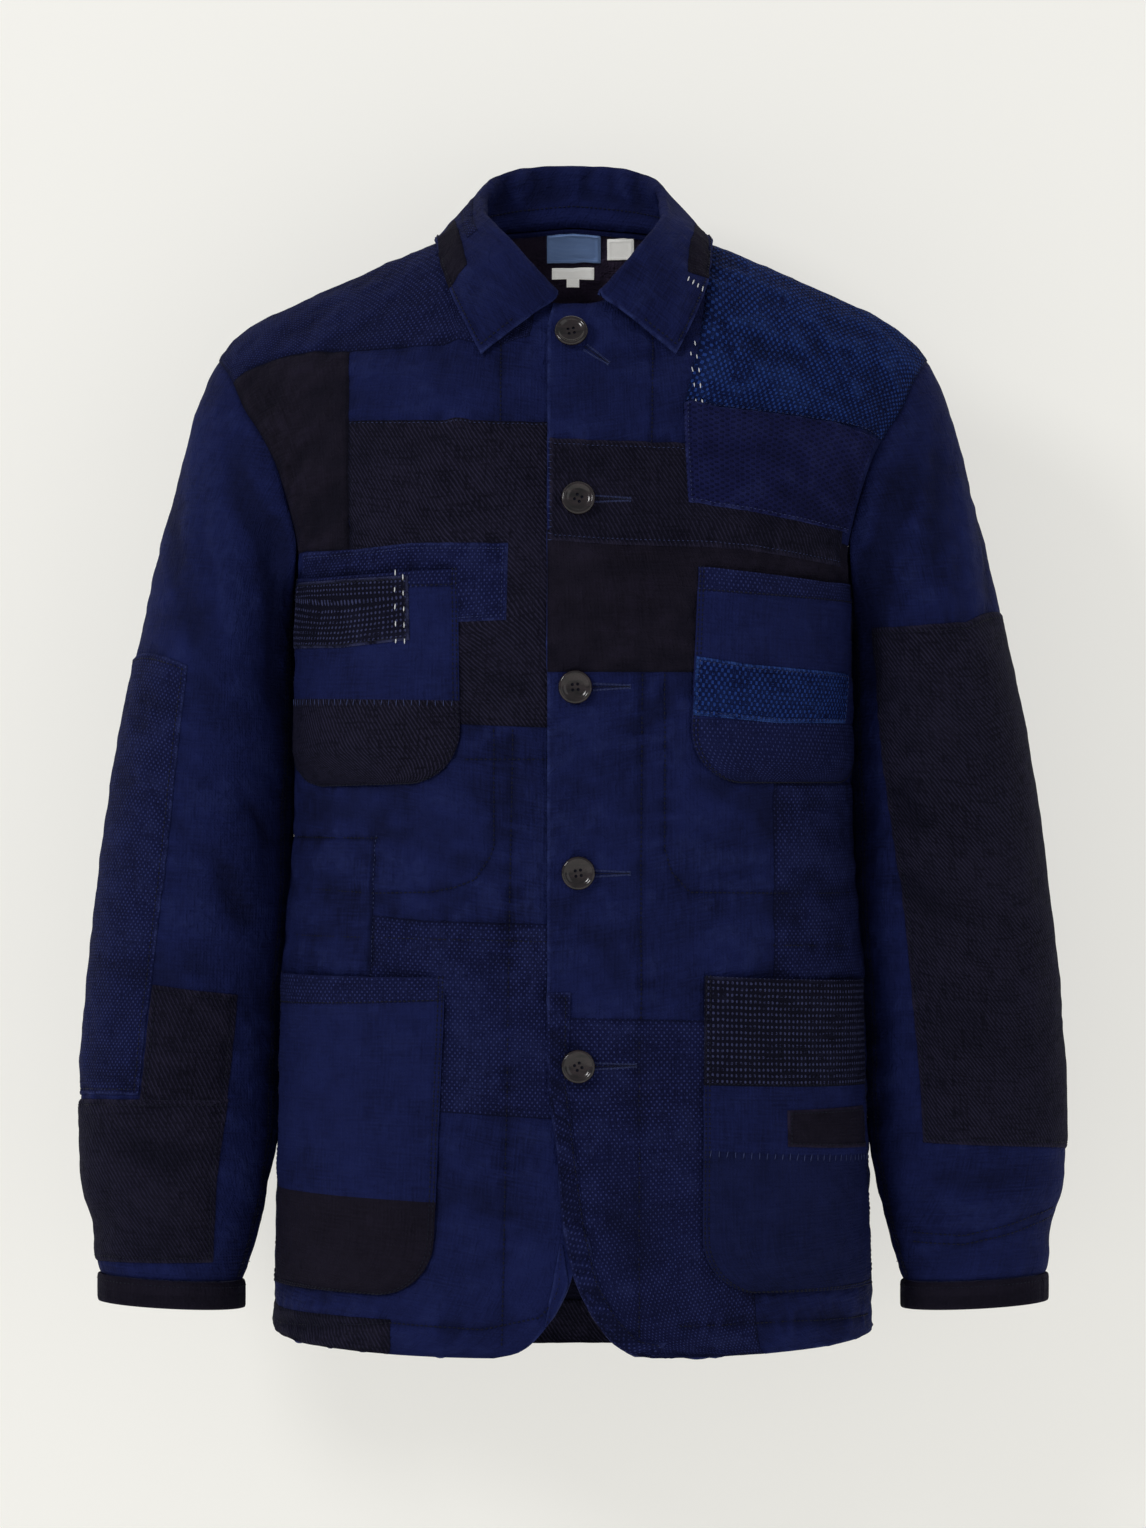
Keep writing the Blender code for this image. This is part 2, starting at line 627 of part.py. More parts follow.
def keep_from_seam(piece, front):
    """Trims a wall's inner edges back to its own side of the shoulder and side seams."""
    for point in piece.data.vertices:
        point.co.y = min(point.co.y, -SEAM_HALF_GAP) if front else max(point.co.y, SEAM_HALF_GAP)


def arc_points(before, corner, after):
    """The points that round one corner of an outline, or the corner itself."""
    here = np.array([corner.x, corner.z])
    if not corner.radius:
        return [here]
    to_before = np.array([before.x, before.z]) - here
    to_after = np.array([after.x, after.z]) - here
    to_before, to_after = (way / np.linalg.norm(way) for way in (to_before, to_after))
    half = math.acos(float(np.clip(to_before @ to_after, -1, 1))) / 2
    centre = here + (to_before + to_after) / np.linalg.norm(to_before + to_after) * (
        corner.radius / math.sin(half)
    )
    start = here + to_before * corner.radius / math.tan(half) - centre
    end = here + to_after * corner.radius / math.tan(half) - centre
    turn = math.acos(float(np.clip(start @ end / corner.radius**2, -1, 1)))
    steps = [i / ARC_STEPS for i in range(ARC_STEPS + 1)]
    return [
        centre + (math.sin((1 - t) * turn) * start + math.sin(t * turn) * end) / math.sin(turn)
        for t in steps
    ]


def new_cutter(name, outline, reach):
    """The outline (x, z) made a prism along Y, over this reach."""
    points = []
    for i, corner in enumerate(outline):
        points += arc_points(outline[i - 1], corner, outline[(i + 1) % len(outline)])
    y_from, y_to = reach[0] * MM, reach[1] * MM
    curve = bpy.data.curves.new(name, "CURVE")
    curve.dimensions = "2D"
    curve.fill_mode = "BOTH"
    curve.extrude = (y_to - y_from) / 2
    spline = curve.splines.new("POLY")
    spline.points.add(len(points) - 1)
    for point, (x, z) in zip(spline.points, points):
        point.co = (x * MM, z * MM, 0, 1)
    spline.use_cyclic_u = True
    drawn = bpy.data.objects.new(name, curve)
    cutters.objects.link(drawn)
    drawn.rotation_euler.x = math.pi / 2
    drawn.location.y = (y_from + y_to) / 2
    mesh = evaluated_mesh(drawn)
    mesh.transform(drawn.matrix_world)
    bpy.data.objects.remove(drawn)
    solid = bmesh.new()
    solid.from_mesh(mesh)
    bmesh.ops.remove_doubles(solid, verts=solid.verts, dist=WELD)
    bmesh.ops.recalc_face_normals(solid, faces=solid.faces)
    solid.to_mesh(mesh)
    solid.free()
    cutter = bpy.data.objects.new(name, mesh)
    cutters.objects.link(cutter)
    set_aside(cutter)
    return cutter


def set_aside(cutter):
    cutter.hide_render = True
    cutter.display_type = "WIRE"


def sewn_on(name, sheet, outline, finish, gap, thickness, reach=FRONT_REACH, inside=False):
    """A piece of one layer on a panel: the panel's own points moved out, cut to an outline."""
    piece = new_object(name, sheet.copy(), finish)
    lift = piece.modifiers.new("Lift", "DISPLACE")
    lift.mid_level = 0
    lift.strength = -gap if inside else gap
    add_wall(piece, thickness, outwards=not inside)
    cut = piece.modifiers.new("Cut", "BOOLEAN")
    cut.operation = "INTERSECT"
    cut.object = new_cutter(name + "_outline", outline, reach)


def button_mesh(name):
    mesh = bpy.data.meshes.new(name)
    points = [(turned.radius * MM, 0, turned.height * MM) for turned in BUTTON_PROFILE]
    mesh.from_pydata(points, [(i, i + 1) for i in range(len(points) - 1)], [])
    return mesh


def drill_hole(button, number, turn):
    """One of the four holes, at this angle round the button's middle."""
    bpy.ops.mesh.primitive_cylinder_add(
        vertices=BUTTON_HOLE_SIDES, radius=BUTTON_HOLE_RADIUS, depth=BUTTON_DRILL
    )
    drill = bpy.context.object
    drill.name = f"{button.name}_drill_{number}"
    for holder in list(drill.users_collection):
        holder.objects.unlink(drill)
    cutters.objects.link(drill)
    set_aside(drill)
    drill.parent = button
    out = BUTTON_HOLE_APART / math.sqrt(2)
    drill.location = (out * math.cos(turn), out * math.sin(turn), 0)
    hole = button.modifiers.new(f"Hole {number}", "BOOLEAN")
    hole.operation = "DIFFERENCE"
    hole.object = drill


def add_button(name, button):
    """A button that lies flat on the cloth under it."""
    piece = new_object(name, button_mesh(name), "horn_brown")
    turn = piece.modifiers.new("Turn", "SCREW")
    turn.steps = turn.render_steps = BUTTON_SIDES
    turn.use_merge_vertices = True
    turn.merge_threshold = 0.0001
    x, z, reach = button.x * MM, button.z * MM, BUTTON_SEAT_REACH
    around = [(x, z)] + [(x + i * reach, z + j * reach) for i in (-1, 1) for j in (-1, 1)]
    outermost = min(float(front_y(*place)) for place in around)
    lift = float(lap_lift(x)) + button.layers * (AIR + PATCH) + AIR + BUTTON_SEAT
    slope = float(front_y(x, z + reach) - front_y(x, z - reach)) / (2 * reach)
    piece.location = (x, outermost - lift, z)
    piece.rotation_euler.x = math.pi / 2 - math.atan(slope)
    for number in range(4):
        drill_hole(piece, number, math.radians(button.turn_deg + 45 + 90 * number))


# --- The jacket ----------------------------------------------------------------------------


def add_back():
    """The back is one piece, made from its left half. Returns its outer sheet."""
    half = grid_mesh("back", BACK_COLUMNS, LOWER_ROWS + UPPER_ROWS, back_point, flip=True)
    piece = new_object("back", half, "indigo_plain")
    mirror = piece.modifiers.new("Mirror", "MIRROR")
    mirror.merge_threshold = WELD
    apply_modifiers(piece)
    sheet = piece.data.copy()
    add_wall(piece, CLOTH)
    apply_modifiers(piece)
    keep_from_seam(piece, front=False)
    return sheet


def add_front(name, place, flip):
    sheet = grid_mesh(name, FRONT_COLUMNS, LOWER_ROWS + UPPER_ROWS, place, flip)
    piece = new_object(name, sheet.copy(), "indigo_plain")
    add_wall(piece, CLOTH)
    apply_modifiers(piece)
    keep_from_seam(piece, front=True)
    return sheet


def seam_to_seam(start, end):
    """The places round the arm of one sleeve panel's columns, just clear of its two seams."""
    between = range(math.floor(start * SLEEVE_COLUMNS) + 1, math.ceil(end * SLEEVE_COLUMNS))
    columns = [column / SLEEVE_COLUMNS for column in between]
    return [start + SLEEVE_SEAM_GAP] + columns + [end - SLEEVE_SEAM_GAP]


def add_sleeve(side_name, side):
    """Both panels of a sleeve and the binding of its cuff. Returns the sleeve's outer sheet."""

    def sleeve_place(u, v, depth=0.0):
        x, y, z = sleeve_point(u, v, depth)
        return side * x, y, z

    def cuff_place(u, v):
        x, y, z = cuff_point(u, v)
        return side * x, y, z

    up = [row / SLEEVE_ROWS for row in range(SLEEVE_ROWS + 1)]
    for name, start, end in (
        (f"sleeve_{side_name}", SLEEVE_SEAM_BACK - 1, SLEEVE_SEAM_FRONT),
        (f"under_sleeve_{side_name}", SLEEVE_SEAM_FRONT, SLEEVE_SEAM_BACK),
    ):
        panel = wall_mesh(name, seam_to_seam(start, end), up, sleeve_place)
        new_object(name, panel, "indigo_plain")
    name = f"sleeve_{side_name}"
    sheet = grid_mesh(name, SLEEVE_COLUMNS, SLEEVE_ROWS, sleeve_place, flip=side > 0, tube=True)
    name = f"cuff_{side_name}"
    cuff = grid_mesh(name, SLEEVE_COLUMNS, 1, cuff_place, flip=side < 0, tube=True)
    add_wall(new_object(name, cuff, "indigo_dark_twill"), BINDING)
    return sheet


def add_collar():
    sheet = grid_mesh("collar", COLLAR_STATIONS, COLLAR_ROWS, whole_collar)
    add_wall(new_object("collar", sheet, "indigo_plain"), COLLAR, even=False)


def sew_fronts(left, right):
    sewn_on("patch_band_left", left, BAND_LEFT, "indigo_dark_twill", ON_PANEL, PATCH)
    sewn_on("patch_ribbed_left", left, RIBBED_LEFT, "indigo_ribbed", ON_PATCH, PATCH)
    sewn_on("edge_band", left, EDGE_BAND, "indigo_dotted", ON_PANEL, PATCH)
    sewn_on("pocket_chest_left", left, CHEST_LEFT, "indigo_plain", ON_PATCH, POCKET)
    sewn_on("patch_pocket_strip", left, POCKET_STRIP, "indigo_bright", ON_POCKET, PATCH)
    sewn_on("pocket_hip_left", left, HIP_LEFT, "indigo_plain", ON_PATCH, POCKET)
    sewn_on("patch_hip_rice", left, HIP_RICE, "indigo_rice", ON_POCKET, PATCH)
    sewn_on("patch_dotted_right", right, DOTTED_RIGHT, "indigo_dotted", ON_PANEL, PATCH)
    sewn_on("pocket_chest_right", right, CHEST_RIGHT, "indigo_plain", ON_PATCH, POCKET)
    sewn_on("patch_pocket_rice", right, POCKET_RICE, "indigo_rice", ON_POCKET, PATCH)
    sewn_on("pocket_hip_right", right, HIP_RIGHT, "indigo_plain", ON_PATCH, POCKET)


def sew_sleeves(left, right):
    for name, sheet, outline, finish in (
        ("patch_sleeve_left", left, SLEEVE_LEFT_PATCH, "indigo_dark_twill"),
        ("patch_sleeve_right_long", right, SLEEVE_RIGHT_LONG, "indigo_dotted"),
        ("patch_sleeve_right_low", right, SLEEVE_RIGHT_LOW, "indigo_dark_twill"),
    ):
        sewn_on(name, sheet, outline, finish, ON_PANEL, PATCH, ARM_REACH)


def sew_inside(back):
    for name, outline, finish, gap, thickness in (
        ("lining_neck", LINING_NECK, "lining_dark", ON_BACK, LINING),
        ("hem_facing", HEM_FACING, "indigo_dark_twill", ON_BACK, LINING),
        ("label_main", LABEL_MAIN, "label_slate", ON_LINING, LABEL),
        ("label_side", LABEL_SIDE, "label_white", ON_LINING, LABEL),
        ("label_low", LABEL_LOW, "label_white", ON_LINING, LABEL),
    ):
        sewn_on(name, back, outline, finish, gap, thickness, BACK_REACH, inside=True)


for old in list(bpy.data.objects):
    bpy.data.objects.remove(old)
jacket = new_collection("patched_jacket")
cutters = new_collection("cutters")
finishes = {name: new_finish(name, finish) for name, finish in FINISHES.items()}

back_sheet = add_back()
left_sheet = add_front("front_left", front_left_point, flip=False)
right_sheet = add_front("front_right", front_right_point, flip=True)
sew_fronts(left_sheet, right_sheet)
sew_sleeves(add_sleeve("left", 1), add_sleeve("right", -1))
add_collar()
sew_inside(back_sheet)
for number, button in enumerate(BUTTONS, start=1):
    add_button(f"button_{number}", button)
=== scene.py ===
"""The looks of a patched indigo work jacket, in hollow form as if on a wearer. Metres, the same frame
as the CAD.

Left and right are the wearer's, so left is +X, and the front faces -Y. Each panel is the same
form as its solid, on a fine grid, with its creases, its quilting and its seams pressed into it.
Every piece sewn on a panel takes its points from that panel, moved out by its own lift.
"""

import functools
import math
from collections import namedtuple

import bmesh
import bpy
import numpy as np
from mathutils import Matrix, Vector


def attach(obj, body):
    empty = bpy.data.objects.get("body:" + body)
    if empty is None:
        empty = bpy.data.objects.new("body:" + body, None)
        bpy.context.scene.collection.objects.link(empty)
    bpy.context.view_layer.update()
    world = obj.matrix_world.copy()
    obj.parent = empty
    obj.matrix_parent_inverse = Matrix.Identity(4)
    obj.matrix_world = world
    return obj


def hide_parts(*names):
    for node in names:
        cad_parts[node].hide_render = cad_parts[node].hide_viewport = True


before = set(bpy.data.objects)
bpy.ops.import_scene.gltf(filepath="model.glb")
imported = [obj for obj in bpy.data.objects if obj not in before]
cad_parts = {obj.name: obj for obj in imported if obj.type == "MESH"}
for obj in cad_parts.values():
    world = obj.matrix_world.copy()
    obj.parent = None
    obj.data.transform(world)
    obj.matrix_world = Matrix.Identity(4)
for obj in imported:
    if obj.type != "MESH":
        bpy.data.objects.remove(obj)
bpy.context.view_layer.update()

MM = 0.001

# Cloth: the body is quilted patchwork, and what is sewn on it is one layer.
CLOTH = 2.0 * MM
PATCH = 1.0 * MM
COLLAR = 1.6 * MM
BINDING = 3.0 * MM
AIR = 0.4 * MM

# Body: what a tape would measure on the finished jacket.
ARMPIT_HEIGHT = -235 * MM
SHOULDER_HEIGHT = -76 * MM
SHOULDER_HALF = 232 * MM
HEM_FRONT, HEM_SIDE, HEM_BACK = -715 * MM, -705 * MM, -731 * MM
NECK_HALF, NECK_FRONT, NECK_BACK = 74 * MM, 82 * MM, 53 * MM
NECK_FRONT_HEIGHT = -45 * MM
HEM_CURVE_FRONT, HEM_CURVE_BACK = 2.0, 2.5
SHOULDER_ROUND_FRONT, SHOULDER_ROUND_BACK = 130 * MM, 110 * MM
SQUARENESS = 2.5
LAP_LIFT = CLOTH + 0.9 * MM
LAP_FADE_START, LAP_FADE_END = 20 * MM, 60 * MM
SEAM_HALF_GAP = 0.15 * MM


def table(names, *rows):
    """A table's rows, with these names for its columns. Heights and widths are in mm."""
    row = namedtuple("row", names)
    return [row(*values) for values in rows]


# The rule by which the form's own grid is laid out, and how finely its lines are measured.
LOWER_ROWS, UPPER_ROWS = 11, 9
NECK_SHARE = 0.42
UPPER_SPACING = 1.5
LINE_SAMPLES = 160
HALVINGS = 20

BODY = table(
    "height half_width front_depth back_depth", (-735, 195.5, 131, 116), (-650, 194.5, 131, 114),
    (-560, 192, 130, 111), (-475, 190, 129.5, 108.5), (-429, 185.5, 130, 108),
    (-383, 182.5, 131, 110), (-300, 181.8, 133, 115), (-235, 182.3, 134, 118),
    (-206, 190.5, 132, 118), (-164, 207.5, 126, 116.5), (-110, 238, 110.5, 110),
    (-76, 262, 98, 106), (-45, 280, 88, 103), (0, 292, 75, 98), (40, 300, 62, 92))

SHOULDER_LINE = table(
    "half_width height", (0, 38), (40, 25), (74, 7), (91, 0), (128, -15.7),
    (173, -36), (201, -49), (220, -62), (232, -76), (250, -110))

ARMHOLE_FRONT = table(
    "height half_width", (-235, 182.3), (-228, 180), (-220, 178), (-206, 177), (-194, 178.6),
    (-164, 186), (-145, 192.5), (-132, 199), (-110, 213), (-90, 222), (-76, 232))
ARMHOLE_BACK = table(
    "height half_width", (-235, 182.3), (-220, 180), (-206, 181), (-190, 184), (-164, 190),
    (-145, 196), (-110, 214), (-90, 223), (-76, 232))
# The front edge laps past the centre line, and turns away in a round corner at the hem.
FRONT_EDGE = table(
    "height half_width", (-715, 50), (-712, 36), (-701, 21.6), (-679, 7.1), (-658, -1.1),
    (-629, -6.7), (-581, -10.5), (-540, -15.6), (-484, -16.2), (-63, -16.2), (-45, -12.6))

# Sleeve: each ring runs from the outer line of the arm to the inner one.
SLEEVE = table(
    "outer_x outer_z inner_x inner_z depth middle_y", (232, -76, 182.5, -235, 146, 0),
    (242, -96, 184.5, -248, 147, 0), (256, -144, 185, -275, 146, 0),
    (270, -200, 185, -308, 143, -1), (284, -262, 185, -345, 139, -2),
    (297, -325, 185.5, -385, 134, -3), (308, -400, 188.5, -435, 128, -4),
    (317, -480, 193.8, -497, 120, -6), (322, -560, 195.5, -568, 109, -8),
    (320.5, -610, 199, -613, 97, -10), (314, -642, 206, -646, 86, -12),
    (309, -671, 215, -676, 75, -12))
SLEEVE_START = 0.006
# Each sleeve is cut in two, a top and an under sleeve. The seams' places are shares of the way
# round the arm: 0 outside, 0.25 front, 0.5 inside.
SLEEVE_SEAM_FRONT, SLEEVE_SEAM_BACK = 6.5 / 14, 13 / 14
ARMHOLE_FADE = 0.3
CUFF_HEIGHT = 18 * MM
CUFF_PROUD = 1.2 * MM
CUFF_GAP = 0.4 * MM

# The largest folds of each sleeve: a soft trough with its middle at this angle round the arm
# (0 outside, 90 front, 180 inside, 270 back) and this share of the arm's length.
SLEEVE_TROUGHS = table(
    "round_arm down_arm half_angle half_length depth", (128, 0.14, 30, 0.16, 7),
    (232, 0.16, 32, 0.15, 7), (150, 0.44, 34, 0.07, 4), (20, 0.90, 40, 0.05, 3),
    (300, 0.62, 34, 0.08, 4))
# Soft flutes that the body falls into towards the hem.
BACK_FLUTES = table("x half_width depth", (52, 34, 4.5), (122, 30, 4), (172, 20, 3))
FLUTE_TOP, FLUTE_FULL = -330 * MM, -640 * MM

# Collar: the seam (degrees round the neck), the fold and the outer edge at stations from the
# front end to the centre back.
COLLAR_PLAN = table(
    "seam_angle fold_x fold_y fold_z edge_x edge_y edge_z", (13.7, 14, -85, -38.5, 62, -94, -79),
    (24, 27, -80, -24, 72, -85, -58), (38, 42, -68, -6, 81, -68, -37),
    (56, 54, -47, 9, 87, -45, -16), (75, 60, -20, 20, 89.5, -17, 0), (97, 60, 10, 33, 90, 12, 1),
    (120, 54, 37, 46, 82, 48, -9), (143, 38, 55, 54, 58, 72, -8), (162, 20, 62, 57, 30, 79, -6),
    (180, 0, 64.5, 57.5, 0, 81, -5))
COLLAR_FRONT_SHIFT = 3.5 * MM
COLLAR_SEAM_IN, COLLAR_SEAM_UP = 2.2 * MM, 2.6 * MM
FOLD_RADIUS = 2.5 * MM
LEAF_CLEAR = COLLAR + 1.9 * MM
LEAF_ROLL = 2.5 * MM
LEAF_SHARES = (0.25, 0.5, 0.75, 1.0)
COLLAR_ROWS = 4 + len(LEAF_SHARES)
RIDGE_REACH = 40 * MM

# Buttons: turned discs with a raised rim and four holes.
BUTTON_HOLE_RADIUS, BUTTON_HOLE_APART = 1.0 * MM, 3.4 * MM
BUTTON_SEAT, BUTTON_SEAT_REACH = 0.5 * MM, 9 * MM
BUTTON_DRILL, BUTTON_HOLE_SIDES = 12 * MM, 20
BUTTON_THREAD_RADIUS, BUTTON_THREAD_HEIGHT = 4.6 * MM, 0.7 * MM
BUTTONS = table(
    "x z turn_deg layers", (-1.1, -65.1, 12, 0), (3.3, -172.7, 60, 1), (1.4, -291.5, 5, 0),
    (3.3, -408.7, 8, 0), (3.3, -530.5, 30, 1))


# --- Curves and the form of the body -----------------------------------------------------------


def through(places, values):
    """A smooth curve through the points that never overshoots them."""
    xs, ys = np.array(places, float), np.array(values, float)
    step = np.diff(xs)
    rise = np.diff(ys) / step
    slope = np.empty(len(xs))
    slope[0], slope[-1] = rise[0], rise[-1]
    before, after = 2 * step[1:] + step[:-1], step[1:] + 2 * step[:-1]
    for i, (first, second) in enumerate(zip(rise[:-1], rise[1:])):
        turns = first * second <= 0
        weights = (before[i] + after[i]) if turns else before[i] / first + after[i] / second
        slope[i + 1] = 0 if turns else (before[i] + after[i]) / weights

    def at(x):
        x = np.clip(x, xs[0], xs[-1])
        i = np.clip(np.searchsorted(xs, x) - 1, 0, len(step) - 1)
        t = (x - xs[i]) / step[i]
        left = (1 + 2 * t) * ys[i] + t * step[i] * slope[i]
        right = (3 - 2 * t) * ys[i + 1] + (t - 1) * step[i] * slope[i + 1]
        return (1 - t) ** 2 * left + t**2 * right

    return at


def column(rows, place, value):
    """The curve of one column of a table against another, in metres."""
    places = [getattr(row, place) * MM for row in rows]
    return through(places, [getattr(row, value) * MM for row in rows])


def down_the_table(rows, unit):
    """A curve for each column, against the share of the way down the table."""
    places = np.linspace(0, 1, len(rows))
    return {name: through(places, [getattr(row, name) * unit for row in rows])
            for name in rows[0]._fields}


half_width = column(BODY, "height", "half_width")
front_depth = column(BODY, "height", "front_depth")
back_depth = column(BODY, "height", "back_depth")
shoulder_line = column(SHOULDER_LINE, "half_width", "height")
armhole_front = column(ARMHOLE_FRONT, "height", "half_width")
armhole_back = column(ARMHOLE_BACK, "height", "half_width")
front_edge = column(FRONT_EDGE, "height", "half_width")


def fade(x, start, end):
    """0 at start, 1 at end, smooth at both."""
    t = np.clip((x - start) / (end - start), 0, 1)
    return t * t * (3 - 2 * t)


def bell(x):
    """1 at x = 0, falling to nothing from about 2."""
    return np.exp(-(x**2))


def fullness(x, z):
    """How much of the depth is left at x: 1 in the middle, 0 at the side seam."""
    share = np.minimum(np.abs(x) / half_width(z), 1)
    return (1 - share**SQUARENESS) ** (1 / SQUARENESS)


def over_shoulder(drop, reach):
    """The quarter round by which the cloth comes over the shoulder line."""
    return np.sqrt(1 - (1 - np.clip(drop / reach, 0, 1)) ** 2)


def flutes(x, z):
    """How far the back falls in at its flutes."""
    depth = 0.0
    for flute in BACK_FLUTES:
        away = (np.abs(x) / MM - flute.x) / flute.half_width
        depth = depth + flute.depth * MM * bell(away)
    return depth * fade(-z, -FLUTE_TOP, -FLUTE_FULL)


def front_y(x, z):
    drop = shoulder_line(np.abs(x)) - z
    return -front_depth(z) * fullness(x, z) * over_shoulder(drop, SHOULDER_ROUND_FRONT)


def back_y(x, z):
    drop = shoulder_line(np.abs(x)) - z
    depth = back_depth(z) - flutes(x, z)
    return depth * fullness(x, z) * over_shoulder(drop, SHOULDER_ROUND_BACK)


def along(points, share):
    """The point at this share of a dense line's length."""
    steps = np.linalg.norm(np.diff(points, axis=0), axis=1)
    length = np.concatenate([[0], np.cumsum(steps)])
    return np.array([np.interp(share * length[-1], length, points[:, i]) for i in range(3)])


def row_point(surface_y, z, start, share):
    """A point at this share of the cloth between x = start and the side seam, at height z."""
    dense = np.linspace(0, 1, LINE_SAMPLES)
    x = start + (half_width(z) - start) * np.sin(dense * math.pi / 2)
    return along(np.column_stack([x, surface_y(x, z), np.full_like(x, z)]), share)


@functools.lru_cache(None)
def neckline(angle, front):
    """The neck seam at this angle: 0 at the centre, 90 degrees at the shoulder seam."""
    x = NECK_HALF * math.sin(angle)
    plan = (NECK_FRONT if front else NECK_BACK) * math.cos(angle)
    surface_y = front_y if front else back_y
    top = float(shoulder_line(abs(x)))
    bottom = top - (SHOULDER_ROUND_FRONT if front else SHOULDER_ROUND_BACK)
    for _ in range(HALVINGS):
        z = (top + bottom) / 2
        if abs(float(surface_y(x, z))) < plan:
            top = z
        else:
            bottom = z
    return np.array([x, -plan if front else plan, (top + bottom) / 2])


@functools.lru_cache(None)
def armhole(share, front):
    """The armhole seam: share 0 at the armpit, 1 at the shoulder point."""
    dense = np.linspace(0, 1, LINE_SAMPLES) ** 2
    z = ARMPIT_HEIGHT + (SHOULDER_HEIGHT - ARMPIT_HEIGHT) * dense
    x = armhole_front(z) if front else armhole_back(z)
    x[0], x[-1] = half_width(ARMPIT_HEIGHT), SHOULDER_HALF
    y = front_y(x, z) if front else back_y(x, z)
    return along(np.column_stack([x, y, z]), share)


@functools.lru_cache(None)
def top_point(share, start_angle, front):
    """The panel's top edge: the neck seam, then the shoulder seam."""
    if share <= NECK_SHARE:
        quarter = math.pi / 2
        return neckline(start_angle + (quarter - start_angle) * share / NECK_SHARE, front)
    t = (share - NECK_SHARE) / (1 - NECK_SHARE)
    x = np.linspace(NECK_HALF, SHOULDER_HALF, LINE_SAMPLES)
    return along(np.column_stack([x, np.zeros_like(x), shoulder_line(x)]), t)


def body_point(u, v, front):
    """The panel from its centre edge (u = 0) to the side, and from the hem (v = 0) up."""
    surface_y = front_y if front else back_y
    split = LOWER_ROWS / (LOWER_ROWS + UPPER_ROWS)
    start = front_edge if front else (lambda z: 0.0)
    if v <= split:
        down = math.sin((1 - v / split) * math.pi / 2)
        middle, curve = (HEM_FRONT, HEM_CURVE_FRONT) if front else (HEM_BACK, HEM_CURVE_BACK)
        hem = middle + (HEM_SIDE - middle) * u**curve
        z = ARMPIT_HEIGHT + (hem - ARMPIT_HEIGHT) * down
        return row_point(surface_y, z, float(start(z)), u)
    # Above the armpit the panel fills the space between its four edges.
    up = 1 - (1 - (v - split) / (1 - split)) ** UPPER_SPACING
    start_angle = math.asin(float(start(NECK_FRONT_HEIGHT)) / NECK_HALF)
    low = row_point(surface_y, ARMPIT_HEIGHT, float(start(ARMPIT_HEIGHT)), u)
    high = top_point(u, start_angle, front)
    first, last = top_point(0, start_angle, front), top_point(1, start_angle, front)
    edge_z = ARMPIT_HEIGHT + (first[2] - ARMPIT_HEIGHT) * up
    inner = np.array([float(start(edge_z)), 0, edge_z])
    outer = armhole(up, front)
    corners = (
        (1 - u) * (1 - up) * np.array([float(start(ARMPIT_HEIGHT)), 0, ARMPIT_HEIGHT])
        + u * (1 - up) * armhole(0, front) + (1 - u) * up * first + u * up * last)
    x, _, z = (1 - up) * low + up * high + (1 - u) * inner + u * outer - corners
    return np.array([x, float(surface_y(x, z)), z])


def lap_lift(x):
    """The left front lies over the right one, so it stands proud near the centre."""
    return LAP_LIFT * (1 - fade(x, LAP_FADE_START, LAP_FADE_END))


def front_left_point(u, v):
    x, y, z = body_point(u, v, front=True)
    return x, min(y - float(lap_lift(x)), -SEAM_HALF_GAP), z


def front_right_point(u, v):
    x, y, z = body_point(u, v, front=True)
    return -x, min(y, -SEAM_HALF_GAP), z


def back_point(u, v):
    x, y, z = body_point(u, v, front=False)
    return x, max(y, SEAM_HALF_GAP), z


# --- The form of the sleeves and the collar --------------------------------------------------


sleeve_line = down_the_table(SLEEVE, MM)
collar_line = down_the_table(COLLAR_PLAN, 1)


def ring_point(angle, share):
    """The plain tube of the sleeve: an oval between the outer and the inner line of the arm."""
    at = {name: float(line(share)) for name, line in sleeve_line.items()}
    middle = np.array([(at["outer_x"] + at["inner_x"]) / 2, at["middle_y"],
                       (at["outer_z"] + at["inner_z"]) / 2])
    across = np.array([(at["outer_x"] - at["inner_x"]) / 2, 0, (at["outer_z"] - at["inner_z"]) / 2])
    forward = np.array([0, -at["depth"] / 2, 0])
    return middle + math.cos(angle) * across + math.sin(angle) * forward


def armhole_loop(angle):
    """The armhole at this angle round the arm: 0 at the shoulder point, 180 degrees below."""
    turn = angle % (2 * math.pi)
    front = turn <= math.pi
    share = 1 - turn / math.pi if front else turn / math.pi - 1
    return armhole(share, front)


def trough_depth(angle, share):
    """How far the sleeve falls in at its largest folds."""
    depth = 0.0
    for trough in SLEEVE_TROUGHS:
        away = (math.degrees(angle) - trough.round_arm + 180) % 360 - 180
        across, down = away / trough.half_angle, (share - trough.down_arm) / trough.half_length
        depth += trough.depth * MM * math.exp(-(across**2) - down**2)
    return depth


def sleeve_point(u, v):
    """The sleeve round the arm (u) and from the cuff end (v = 0) up to the armhole (v = 1)."""
    angle = 2 * math.pi * u
    share = SLEEVE_START + (1 - SLEEVE_START) * (1 - v)
    point = ring_point(angle, share)
    hold = 1 - float(fade(share, 0, ARMHOLE_FADE))
    point = point + (armhole_loop(angle) - ring_point(angle, 0)) * hold
    inward = ring_point(angle + math.pi, share) - ring_point(angle, share)
    inward = inward / np.linalg.norm(inward)
    return point + inward * trough_depth(angle, share)


def cuff_point(u):
    """The middle of the binding, which goes on from the sleeve's end, a little wider than it."""
    angle = 2 * math.pi * u
    end, opposite = ring_point(angle, 1.0), ring_point(angle + math.pi, 1.0)
    outward = (end - opposite) / np.linalg.norm(end - opposite)
    down = np.array([0, 0, -1])
    return end + outward * CUFF_PROUD + down * (CUFF_GAP + CUFF_HEIGHT * 0.5)


